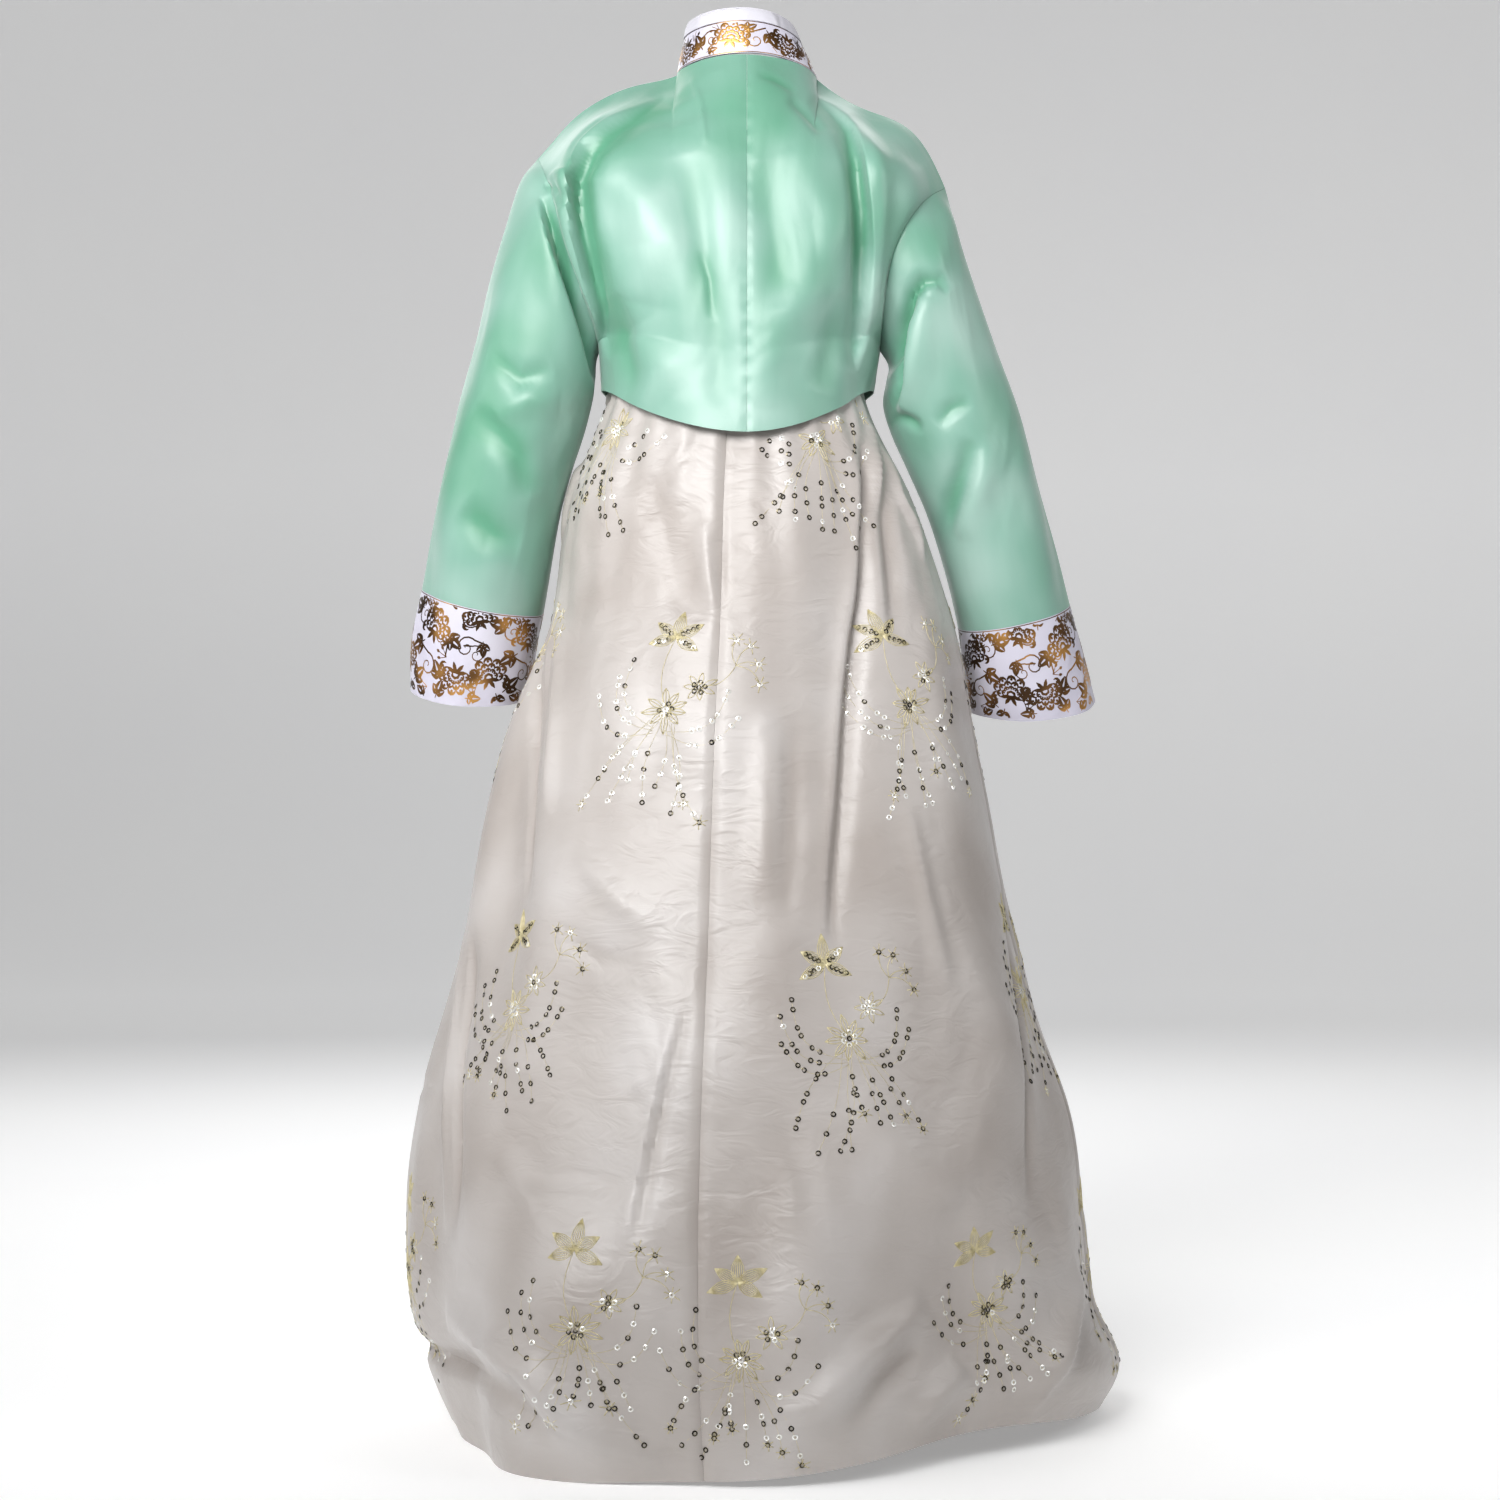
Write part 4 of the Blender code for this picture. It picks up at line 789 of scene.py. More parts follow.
def front_collar(side, at, lift):
    """Seam points of the collar on one front, and the band's way across: up at the neck, flat on the chest."""
    seam = neckline(side, at, lift)
    along = unit(np.gradient(seam, axis=0))
    across = COLLAR_AIM - seam
    across = unit(across - along * (across * along).sum(1)[:, None])
    reach = seam + across * COLLAR_WIDTH
    flat = reach.copy()
    flat[:, 1] = -(chest_depth(flat[:, 0], flat[:, 2]) + lift + COLLAR_CHEST_CLEARANCE)
    share = eased((at - 0.15) / 0.40)[:, None]
    across = unit(reach * (1 - share) + flat * share - seam)
    return seam, across


def collar_frames():
    """Seam points from the inner end round the neck to the outer end, and the ways across the band and out."""
    inner_at = np.linspace(INNER_NECKLINE_END, 0.0, COLLAR_INNER_POINTS)
    inner, inner_across = front_collar("right", inner_at, 0.0)
    right_back = neck_curve("right", np.linspace(90, 0, COLLAR_BACK_POINTS)[1:])
    left_back = neck_curve("left", np.linspace(0, 90, COLLAR_BACK_POINTS)[1:-1])
    back = np.concatenate([right_back, left_back])
    outer, outer_across = front_collar("left", np.linspace(0.0, 1.0, COLLAR_OUTER_POINTS), FRONT_LIFT)
    path = np.concatenate([inner, back, outer])
    across = np.concatenate([inner_across, COLLAR_AIM - back, outer_across])
    along = unit(np.gradient(path, axis=0))
    across = unit(across - along * (across * along).sum(1)[:, None])
    out = np.cross(along, across)
    away = path * np.array((1.0, 1.0, 0.0))
    out = out * np.sign((out * away).sum(1))[:, None]
    return path, across, out


def skirt_halves(x, y, heights):
    """Half width and half depth of the skirt at heights, on the sides that the signs of x and y name."""
    left, right, back, front = (read(SKIRT_ROWS, SKIRT_COLUMNS, "height", n, heights) for n in SKIRT_COLUMNS[1:5])
    return np.where(x >= 0, left, right), np.where(y >= 0, back, front)


def skirt_points(angles, heights, pleated=True):
    """The skirt's outer face. Angles in degrees from the centre back towards the wearer's left."""
    a = np.radians(angles)
    half_width, half_depth = skirt_halves(np.sin(a), np.cos(a), heights)
    x = half_width * np.sin(a)
    y = half_depth * np.cos(a)
    out = unit(np.stack([x / half_width**2, y / half_depth**2], axis=-1))
    rise = np.zeros(np.broadcast(a, heights).shape)
    for row in SKIRT_FOLDS:
        fold = dict(zip(FOLD_COLUMNS, row))
        length = fold["top"] - fold["bottom"]
        down = np.clip((fold["top"] - heights) / length, 0, 1)
        middle = fold["upper"] + (fold["lower"] - fold["upper"]) * down
        off = (angles - middle + 180) % 360 - 180
        fade = np.sin(math.pi * np.clip(down, 0, 1)) ** FOLD_ENDS
        rise = rise + fold["rise"] * fade * np.exp(-((off / fold["spread"]) ** 2))
    if pleated:
        pleat = read(SKIRT_ROWS, SKIRT_COLUMNS, "height", "pleat", heights)
        rise = rise + pleat * np.sin(np.radians((angles - SEAM_ANGLE) * PLEATS))
    lift = read(HEM_LIFT_ROWS, HEM_LIFT_COLUMNS, "degrees", "lift", (angles + 180) % 360 - 180)
    z = heights - NECK_HEIGHT + lift * eased(1 - heights / HEM_LIFT_FADE)
    return np.stack([x + out[..., 0] * rise, y + out[..., 1] * rise, z], axis=-1)


def outward(normals, points, centre):
    """Normals turned so that they point away from the centre line given."""
    if ((points - centre) * normals).sum() < 0:
        return -normals
    return normals


def beside(places, line):
    """For flat places: the distance to a line, the side of it and the share of the way along it."""
    steps = np.diff(line, axis=0)
    lengths = np.linalg.norm(steps, axis=1)
    starts = np.concatenate([[0.0], np.cumsum(lengths)])
    nearest = np.full(places.shape[:-1], 1e9)
    side = np.zeros(places.shape[:-1])
    along = np.zeros(places.shape[:-1])
    for first, step, length, start in zip(line[:-1], steps, lengths, starts[:-1]):
        rel = places - first
        t = np.clip((rel @ step) / length**2, 0, 1)
        distance = np.linalg.norm(rel - t[..., None] * step, axis=-1)
        closer = distance < nearest
        nearest = np.where(closer, distance, nearest)
        side = np.where(closer, np.sign(step[0] * rel[..., 1] - step[1] * rel[..., 0]), side)
        along = np.where(closer, (start + t * length) / starts[-1], along)
    return nearest, side, along


def crease_heights(places, rows, placed):
    """Height of soft creases at flat places. placed turns the line of a crease's row into flat places."""
    total = np.zeros(places.shape[:-1])
    for rise, plus, minus, *line in rows:
        distance, side, along = beside(places, placed(np.array(line, float)))
        width = np.where(side > 0, plus, minus) * MM
        ends = np.sin(math.pi * np.clip(along, 0, 1)) ** CREASE_ENDS
        total += rise * MM * ends * np.exp(-((distance / width) ** 2))
    return total


def waves(points, seed, size, height):
    """A gentle uneven swell at points: a sum of sines in seeded directions. size is a typical wavelength."""
    draw = np.random.default_rng(seed)
    total = np.zeros(points.shape[:-1])
    for _ in range(WAVE_COUNT):
        way = draw.normal(size=3) * np.array((1.0, 1.0, WAVE_UPRIGHT))
        way = way / np.linalg.norm(way)
        length = size * draw.uniform(0.6, 1.7)
        total += np.sin(points @ way * (2 * math.pi / length) + draw.uniform(0, 2 * math.pi))
    return total * height / math.sqrt(WAVE_COUNT)


def crease_jacket(points, out):
    """Jacket points with creases and swell, and a painted shade for each from how deep in a crease hollow it lies.
    Points on a shared seam move alike.
    """
    moved = points.copy()
    depth = np.zeros(points.shape[:-1])
    for rows, face in ((BACK_CREASES, 1.0), (FRONT_CREASES, -1.0)):
        rise = crease_heights(points[..., [0, 2]], rows, lambda line: line * MM)
        rise *= np.clip(out[..., 1] * face * CREASE_REACH, 0, 1) * JACKET_CREASE_DEPTH
        moved += out * rise[..., None]
        depth -= rise
    moved += out * waves(points, *JACKET_WAVES)[..., None]
    # painted shade: the deeper a place lies in a crease hollow, the darker its colour is made
    return moved, np.clip(depth / PAINTED_SHADE_FULL_DEPTH, 0, 1)


def skirt_radius(heights):
    return np.mean([read(SKIRT_ROWS, SKIRT_COLUMNS, "height", n, heights) for n in ("left", "back")], axis=0)


def hem_height(angles):
    """Height of the jacket's hem round the skirt."""
    return HEM_CENTRE_Z + HEM_SIDE_RISE * np.sin(np.radians(angles)) ** 2 + NECK_HEIGHT


def skirt_cloth(angles, heights):
    """The skirt's outer face with its small creases, and a painted shade for each place from how deep in a crease
    hollow it lies.
    """
    points = skirt_points(angles, heights)
    a = np.radians(angles)
    out = unit(np.stack([np.sin(a), np.cos(a), 0 * a], axis=-1))
    radius = skirt_radius(heights)

    def placed(line):
        up = line[:, 1] * MM
        return np.stack([np.radians(line[:, 0]) * skirt_radius(up), up], axis=-1)

    rise = np.zeros(angles.shape)
    for rows, turn in ((SKIRT_CREASES, 0.0), (FAR_CREASES, 180.0)):
        flat_angles = (angles - turn + 180) % 360 - 180
        places = np.stack([np.radians(flat_angles) * radius, heights], axis=-1)
        rise += crease_heights(places, rows, placed) * SKIRT_CREASE_DEPTH
    rise += waves(points * np.array((1.0, 1.0, 0.5)), *SKIRT_WAVES)
    seams = np.abs((angles - SEAM_ANGLE + 45) % 90 - 45)
    rise -= SKIRT_SEAM_DIP * np.exp(-((np.radians(seams) * radius / SKIRT_SEAM_WIDTH) ** 2))
    under_jacket = eased((heights - hem_height(angles) + 0.010) / 0.03)
    rise = rise * (1 - under_jacket) + np.minimum(rise, 0) * UNDER_JACKET_CREASES * under_jacket
    ribbon = eased((30 - np.abs(angles % 360 - 180)) / 12) * eased((heights - 0.55) / 0.08)
    rise = rise * (1 - ribbon)
    # painted shade: the deeper a place lies in a crease hollow, the darker its colour is made
    return points + out * rise[..., None], np.clip(-rise / PAINTED_SHADE_FULL_DEPTH, 0, 1)


def kept_off_skirt(points):
    """Jacket points moved out where they would come too near the skirt's pleats."""
    heights = points[..., 2] + NECK_HEIGHT
    half_width, half_depth = skirt_halves(points[..., 0], points[..., 1], heights)
    angles = np.degrees(np.arctan2(points[..., 0] / half_width, points[..., 1] / half_depth))
    skirt = skirt_points(angles, heights, pleated=False)
    pleat = read(SKIRT_ROWS, SKIRT_COLUMNS, "height", "pleat", heights)
    have = np.linalg.norm(points[..., :2], axis=-1)
    short = np.linalg.norm(skirt[..., :2], axis=-1) + pleat + SATIN_WALL + CLEAR_OF_SKIRT - have
    pushed = 0.5 * (short + np.sqrt(short**2 + SOFT_START**2))
    pushed *= eased((SKIRT_TOP + BAND_HEIGHT - heights) / CLEAR_START)
    moved = points.copy()
    moved[..., :2] *= (1 + pushed / np.maximum(have, 1e-6))[..., None]
    return moved


def faced_out(corners, faces):
    """The faces, all turned round if they enclose a negative volume."""
    total = 0.0
    for face in faces:
        a = corners[face[0]]
        for second, third in zip(face[1:-1], face[2:]):
            b, c = corners[second], corners[third]
            total += a[0] * (b[1] * c[2] - b[2] * c[1]) + a[1] * (b[2] * c[0] - b[0] * c[2])
            total += a[2] * (b[0] * c[1] - b[1] * c[0])
    return faces if total > 0 else [tuple(reversed(face)) for face in faces]


def tube_faces(rows, count):
    """Faces of a closed tube: rings of count corners, and a cap at either end."""
    faces = []
    for r in range(0, (rows - 1) * count, count):
        for c in range(count):
            d = (c + 1) % count
            faces.append((r + c, r + count + c, r + count + d, r + d))
    last = (rows - 1) * count
    return faces + [tuple(range(count)), tuple(last + c for c in reversed(range(count)))]


def new_piece(name, corners, faces, material, uvs=None, sharp=SHARP_ANGLE):
    """A mesh object from corners and faces that all turn one way. uvs is one (u, v) per corner."""
    faces = faced_out(corners.tolist(), faces)
    mesh = bpy.data.meshes.new(name)
    mesh.from_pydata(corners.tolist(), [], faces)
    mesh.materials.append(material)
    mesh.shade_smooth()
    mesh.set_sharp_from_angle(angle=math.radians(sharp))
    if uvs is not None:
        layer = mesh.uv_layers.new(name="cloth")
        loops = np.empty(len(mesh.loops), np.int32)
        mesh.loops.foreach_get("vertex_index", loops)
        layer.data.foreach_set("uv", np.asarray(uvs, np.float32)[loops].reshape(-1))
    return linked(name, mesh)


def linked(name, data):
    piece = bpy.data.objects.new(name, data)
    bpy.context.scene.collection.objects.link(piece)
    return piece


def tubes(name, material, ring_grids, sharp=SHARP_ANGLE):
    """One piece of many small closed tubes, each a grid of rings, all facing out."""
    corners = []
    faces = []
    base = 0
    for rings in ring_grids:
        flat = rings.reshape(-1, 3)
        facing = faced_out(flat.tolist(), tube_faces(*rings.shape[:2]))
        faces += [tuple(i + base for i in face) for face in facing]
        corners.append(flat)
        base += len(flat)
    return new_piece(name, np.concatenate(corners), faces, material, sharp=sharp)


def closed(grid):
    """A ring's grid with its first column again at the end."""
    return np.concatenate([grid, grid[:, :1]], axis=1)


def lengths_along(grid, axis):
    steps = np.linalg.norm(np.diff(grid, axis=axis), axis=-1)
    return np.concatenate([[0.0], np.cumsum(steps.mean(axis=1 - axis))])


def shell(name, outer, inner, material, ring=False, painted_crease_shades=None):
    """A closed thin piece of cloth between two grids. The columns of a ring join up."""
    rows, columns = outer.shape[:2]
    around = lengths_along(closed(outer) if ring else outer, 1)
    down = lengths_along(outer, 0)
    half = rows * columns
    spans = columns if ring else columns - 1
    faces = []
    for r in range(rows - 1):
        for c in range(spans):
            a = r * columns + c
            b = r * columns + (c + 1) % columns
            faces.append((a, a + columns, b + columns, b))
            faces.append((half + a, half + b, half + b + columns, half + a + columns))
    for c in range(spans):
        d = (c + 1) % columns
        last = (rows - 1) * columns
        faces.append((c, d, half + d, half + c))
        faces.append((last + d, last + c, half + last + c, half + last + d))
    if not ring:
        for r in range(rows - 1):
            a = r * columns
            b = a + columns
            faces.append((b, a, half + a, half + b))
            faces.append((a + columns - 1, b + columns - 1, half + b + columns - 1, half + a + columns - 1))
    flat = np.stack(np.meshgrid(around[:columns], -down), axis=-1).reshape(-1, 2)
    corners = np.concatenate([outer.reshape(-1, 3), inner.reshape(-1, 3)])
    piece = new_piece(name, corners, faces, material, np.concatenate([flat, flat]))
    if ring:
        mend_ring_uvs(piece, around[-1])
    # painted shade of the crease hollows, kept on the corners so that the material darkens the colour there
    if painted_crease_shades is not None:
        layer = piece.data.attributes.new("painted_crease_shade", "FLOAT", "POINT")
        layer.data.foreach_set("value", np.tile(painted_crease_shades.reshape(-1), 2).astype(np.float32))
    return piece


def mend_ring_uvs(piece, around):
    """Faces that close a ring get their first column's u one turn on."""
    layer = piece.data.uv_layers["cloth"]
    uvs = np.empty(len(piece.data.loops) * 2, np.float32)
    layer.data.foreach_get("uv", uvs)
    uvs = uvs.reshape(-1, 4, 2)
    wide = uvs[..., 0].max(axis=1) - uvs[..., 0].min(axis=1) > around / 2
    low = uvs[..., 0] < around / 2
    uvs[..., 0] += around * (wide[:, None] & low)
    layer.data.foreach_set("uv", uvs.reshape(-1))


def sampled(grid, rows, columns, ring=False):
    """Points of a grid at fractional rows and columns."""
    height, width = grid.shape[:2]
    rows = np.clip(rows, 0, height - 1.001)
    r = rows.astype(int)
    if ring:
        columns = columns % width
    else:
        columns = np.clip(columns, 0, width - 1.001)
    c = columns.astype(int)
    d = (c + 1) % width
    s = (rows - r)[..., None]
    t = (columns - c)[..., None]
    top = grid[r, c] * (1 - t) + grid[r, d] * t
    return top * (1 - s) + (grid[r + 1, c] * (1 - t) + grid[r + 1, d] * t) * s


def foil_print(name, cloth, lines):
    """The print: closed raised strips that lie on a cloth. A line is (flat points, widths)."""
    across, lift = np.array(FOIL_SECTION).T
    ring_grids = []
    for flat, widths in lines:
        along = unit(np.gradient(flat, axis=0))
        side = np.stack([-along[:, 1], along[:, 0]], axis=-1)
        places = flat[:, None] + side[:, None] * (across[None, :, None] * widths[:, None, None] / 2)
        points, out = cloth(places[..., 0], places[..., 1])
        ring_grids.append(points + out * lift[None, :, None])
    return riding(tubes(name, gold, ring_grids))


def filled(tree, made, values):
    """A node with its settings and sockets filled in. A socket takes a constant or another node's output."""
    for key, value in values.items():
        if key.startswith("set_"):
            setattr(made, key[4:], value)
            continue
        socket = made.inputs[int(key[3:])] if key.startswith("in_") else made.inputs[key.replace("_", " ")]
        if isinstance(value, bpy.types.NodeSocket):
            tree.links.new(value, socket)
        else:
            socket.default_value = value
    return made


def node(tree, kind, **values):
    return filled(tree, tree.nodes.new(kind), values)


def begun(name):
    """A new material and its node tree."""
    material = bpy.data.materials.new(name)
    material.use_nodes = True
    return material, material.node_tree


def coloured(material, colour, rough, **sockets):
    """The material with its colour, roughness and other sockets set on the main shader."""
    tree = material.node_tree
    filled(tree, tree.nodes["Principled BSDF"], {"Base_Color": colour, "Roughness": rough, **sockets})
    return material


def ramp(tree, factor, stops):
    made = tree.nodes.new("ShaderNodeValToRGB")
    tree.links.new(factor, made.inputs["Fac"])
    parts = made.color_ramp.elements
    while len(parts) < len(stops):
        parts.new(0.5)
    for part, (place, colour) in zip(parts, stops):
        part.position = place
        part.color = (*colour, 1)
    return made.outputs["Color"]


def cloth_material(
    name, dark, middle, light, threads, bump, rough, sheen, sheen_tint, crumples, anisotropic=0.0, puckered=0.15,
    pucker_shape=LONG_WRINKLES,
):
    """Woven cloth: soft large changes of colour, long silky streaks, painted shade darkening the crease hollows,
    wrinkles and a fine weave raised by bump.
    """
    material, tree = begun(name)
    place = node(tree, "ShaderNodeTexCoord").outputs["Object"]
    uv = node(tree, "ShaderNodeUVMap", set_uv_map="cloth").outputs["UV"]
    broad = node(tree, "ShaderNodeTexNoise", Vector=place, Scale=BROAD_TONES, Detail=2.0, Roughness=0.5)
    stretch = node(tree, "ShaderNodeMapping", Vector=uv, Scale=STREAK_STRETCH)
    streaks = node(tree, "ShaderNodeTexNoise", Vector=stretch.outputs["Vector"], Scale=1.0, Detail=3.0)
    mixed = node(
        tree, "ShaderNodeMath", set_operation="MULTIPLY_ADD", in_0=streaks.outputs["Fac"], in_1=STREAK_TONE,
        in_2=broad.outputs["Fac"],
    )
    # painted shade: the colour is moved towards the dark end where the crease hollows are deep
    painted_crease_shade = node(tree, "ShaderNodeAttribute", set_attribute_name="painted_crease_shade")
    lower = node(
        tree, "ShaderNodeMath", set_operation="MULTIPLY_ADD", in_0=painted_crease_shade.outputs["Fac"], in_1=-PAINTED_SHADE_STRENGTH,
        in_2=mixed.outputs["Value"],
    )
    colour = ramp(tree, lower.outputs["Value"], ((0.30, dark), (0.56, middle), (0.74, light)))
    warp = node(tree, "ShaderNodeTexWave", Vector=uv, Scale=threads, Distortion=0.4, set_bands_direction="X")
    weft = node(tree, "ShaderNodeTexWave", Vector=uv, Scale=threads * 0.8, Distortion=0.4, set_bands_direction="Y")
    weave = node(tree, "ShaderNodeMath", set_operation="ADD", in_0=warp.outputs["Fac"], in_1=weft.outputs["Fac"])
    raised = node(tree, "ShaderNodeBump", Strength=bump, Distance=WEAVE_DEPTH, Height=weave.outputs["Value"])
    for stretched, scale, roughness, distortion, strength, depth in (
        (pucker_shape, PUCKERS, 0.5, 1.6, puckered, PUCKER_DEPTH),
        (LONG_WRINKLES, crumples, 0.4, 1.0, 0.75, CRUMPLE_DEPTH),
    ):
        shape = node(tree, "ShaderNodeMapping", Vector=place, Scale=stretched)
        wrinkles = node(
            tree, "ShaderNodeTexNoise", Vector=shape.outputs["Vector"], Scale=scale, Detail=2.0, Roughness=roughness,
            Distortion=distortion,
        )
        raised = node(
            tree, "ShaderNodeBump", Strength=strength, Distance=depth, Height=wrinkles.outputs["Fac"],
            Normal=raised.outputs["Normal"],
        )
    gloss = node(
        tree, "ShaderNodeMapRange", Value=streaks.outputs["Fac"], To_Min=rough - 0.03, To_Max=rough + 0.06,
    )
    sockets = {}
    if anisotropic:
        tangent = node(tree, "ShaderNodeTangent", set_direction_type="UV_MAP", set_uv_map="cloth")
        sockets = {"Anisotropic": anisotropic, "Tangent": tangent.outputs["Tangent"]}
    return coloured(
        material, colour, gloss.outputs["Result"], Normal=raised.outputs["Normal"], Sheen_Weight=sheen,
        Sheen_Roughness=0.4, Sheen_Tint=(*sheen_tint, 1), Specular_IOR_Level=SATIN_SHINE, **sockets,
    )


def small_material(name, colours, scale, rough, metallic, bump=0.2):
    """For foil, threads, sequins: an uneven colour and gloss from noise in the object's own place."""
    material, tree = begun(name)
    place = node(tree, "ShaderNodeTexCoord").outputs["Object"]
    noise = node(tree, "ShaderNodeTexNoise", Vector=place, Scale=scale, Detail=2.0)
    colour = ramp(tree, noise.outputs["Fac"], colours)
    grain = node(tree, "ShaderNodeTexNoise", Vector=place, Scale=GRAIN, Detail=2.0)
    raised = node(tree, "ShaderNodeBump", Strength=bump, Distance=0.0002, Height=grain.outputs["Fac"])
    gloss = node(tree, "ShaderNodeMapRange", Value=grain.outputs["Fac"], To_Min=rough - 0.07, To_Max=rough + 0.12)
    return coloured(material, colour, gloss.outputs["Result"], Metallic=metallic, Normal=raised.outputs["Normal"])


def repeated(name, shape, places, outs, alongs, material):
    """One small shape at every place, by a Geometry Nodes tree whose inputs are named sizes."""
    seed = bpy.data.meshes.new(f"{name}_places")
    seed.from_pydata(places.tolist(), [], [])
    for key, values in (("out", outs), ("along", alongs)):
        attribute = seed.attributes.new(key, "FLOAT_VECTOR", "POINT")
        attribute.data.foreach_set("vector", np.asarray(values, np.float32).reshape(-1))
    holder = linked(f"{name}_places", seed)
    tree = bpy.data.node_groups.new(name, "GeometryNodeTree")
    tree.interface.new_socket("Geometry", in_out="INPUT", socket_type="NodeSocketGeometry")
    sizes = SMALL_SHAPES[shape]
    for key in sizes:
        tree.interface.new_socket(key, in_out="INPUT", socket_type="NodeSocketFloat")
    tree.interface.new_socket("Geometry", in_out="OUTPUT", socket_type="NodeSocketGeometry")
    given = tree.nodes.new("NodeGroupInput").outputs
    if shape == "sequin":
        circle = node(tree, "GeometryNodeCurvePrimitiveCircle", Resolution=8, Radius=given["Middle radius"])
        section = node(tree, "GeometryNodeCurvePrimitiveCircle", Resolution=3, Radius=given["Ring radius"])
        ring = node(
            tree, "GeometryNodeCurveToMesh", Curve=circle.outputs["Curve"], Profile_Curve=section.outputs["Curve"]
        )
        one = node(tree, "GeometryNodeTransform", Geometry=ring.outputs["Mesh"], Scale=SEQUIN_FLATTENED)
    else:
        ball = node(tree, "GeometryNodeMeshUVSphere", Segments=6, Rings=4, Radius=given["Thickness"])
        stretch = node(tree, "ShaderNodeCombineXYZ", X=given["Stretch"], Y=1.0, Z=1.0)
        one = node(tree, "GeometryNodeTransform", Geometry=ball.outputs["Mesh"], Scale=stretch.outputs["Vector"])
    out, along = (
        node(tree, "GeometryNodeInputNamedAttribute", set_data_type="FLOAT_VECTOR", Name=key).outputs["Attribute"]
        for key in ("out", "along")
    )
    turn = node(
        tree, "FunctionNodeAxesToRotation", set_primary_axis="Z", set_secondary_axis="X", in_0=out, in_1=along
    )
    spread = node(
        tree, "GeometryNodeInstanceOnPoints", Points=given["Geometry"], Instance=one.outputs["Geometry"],
        Rotation=turn.outputs["Rotation"],
    )
    real = node(tree, "GeometryNodeRealizeInstances", Geometry=spread.outputs["Instances"])
    painted = node(tree, "GeometryNodeSetMaterial", Geometry=real.outputs["Geometry"], Material=material)
    node(tree, "NodeGroupOutput", in_0=painted.outputs["Geometry"])
    modifier = holder.modifiers.new(name, "NODES")
    modifier.node_group = tree
    for item in tree.interface.items_tree:
        if item.item_type == "SOCKET" and item.in_out == "INPUT" and item.name in sizes:
            modifier[item.identifier] = sizes[item.name]
    graph = bpy.context.evaluated_depsgraph_get()
    mesh = bpy.data.meshes.new_from_object(holder.evaluated_get(graph), depsgraph=graph)
    mesh.name = name
    mesh.shade_smooth()
    mesh.set_sharp_from_angle(angle=math.radians(SHARP_ANGLE))
    holder.modifiers.clear()
    bpy.data.objects.remove(holder, do_unlink=True)
    return linked(name, mesh)


def arc(centre, radius, start, end, count=9):
    """Points on a circle, by angles in degrees."""
    a = np.radians(np.linspace(start, end, count))
    return np.stack([centre[0] + radius * np.cos(a), centre[1] + radius * np.sin(a)], axis=-1)


def swelling(count, width, least=0.15, early=1.0):
    """Widths that start and end narrow and swell between."""
    t = np.linspace(0, 1, count) ** early
    return width * (least + (1 - least) * np.sin(math.pi * t))


def turned(points, centre, angle, size=1.0, mirror=1.0):
    """Flat points turned by an angle in degrees about the origin, sized, and set at the centre."""
    a = math.radians(angle)
    p = np.asarray(points, float) * np.array((mirror, 1.0)) * size
    x = p[:, 0] * math.cos(a) - p[:, 1] * math.sin(a)
    y = p[:, 0] * math.sin(a) + p[:, 1] * math.cos(a)
    return np.stack([x + centre[0], y + centre[1]], axis=-1)


def bloom(centre, angle, size, mirror=1.0):
    """A full layered flower in print: a fan of scalloped petals over a cup. About two units across."""
    lines = []
    for ring, (count, reach, scallop, width, spread) in enumerate(BLOOM_RINGS):
        for i in range(count):
            way = 90 + spread * ((i + 0.5) / count - 0.5)
            a = math.radians(way)
            middle = np.array((reach * math.cos(a), reach * math.sin(a) - 0.12))
            petal = arc(middle, scallop, way - 105, way + 105, 7)
            lines.append((petal, swelling(7, width)))
            if ring < 3:
                vein = np.array((middle, middle + 0.62 * scallop * np.array((math.cos(a), math.sin(a)))))
                lines.append((np.linspace(vein[0], vein[1], 3), swelling(3, width * 0.9, 0.5)))
    for way in (-160, -118, -62, -20):
        a = math.radians(way)
        tip = np.array((0.62 * math.cos(a), 0.62 * math.sin(a) - 0.1))
        lines.append((np.linspace((0.0, -0.15), tip, 4), swelling(4, 0.22)))
    lines.append((arc((0.0, -0.12), 0.2, 0, 330, 8), swelling(8, 0.14, 0.6)))
    return [(turned(line, centre, angle, size, mirror), width * size) for line, width in lines]


def lobed_leaf(centre, angle, size, mirror=1.0):
    """A leaf with three pointed lobes, each of two halves beside its vein."""
    lines = []
    for way, length, width in (
        (90, 1.0, 0.30), (38, 0.72, 0.26), (142, 0.72, 0.26), (8, 0.46, 0.18), (172, 0.46, 0.18),
    ):
        a = math.radians(way)
        tip = length * np.array((math.cos(a), math.sin(a)))
        side = np.array((-math.sin(a), math.cos(a)))
        for s in (-1.0, 1.0):
            t = np.linspace(0, 1, 5)[:, None]
            half = tip * t + side * s * (0.62 * width * np.sin(math.pi * t**0.8) * 0.9 + 0.02)
            lines.append((half, swelling(5, width * 0.85, 0.2)))
    lines.append((np.linspace((0.0, -0.35), (0.0, 0.15), 4), swelling(4, 0.09, 0.7)))
    return [(turned(line, centre, angle, size, mirror), width * size) for line, width in lines]


def tendril(centre, angle, size, mirror=1.0, turns=1.35):
    """A stem that curls up into a spiral."""
    t = np.linspace(0, 1, 17)
    a = 2 * math.pi * turns * t**1.1
    radius = 1.0 * (1 - t) ** 0.9 + 0.05
    spiral = np.stack([radius * np.cos(a), radius * np.sin(a)], axis=-1)
    tail = np.linspace((1.35, -1.3), (1.05, -0.25), 3)
    line = np.concatenate([tail, spiral])
    return [(turned(line, centre, angle, size, mirror), np.linspace(0.17, 0.09, len(line)) * size)]


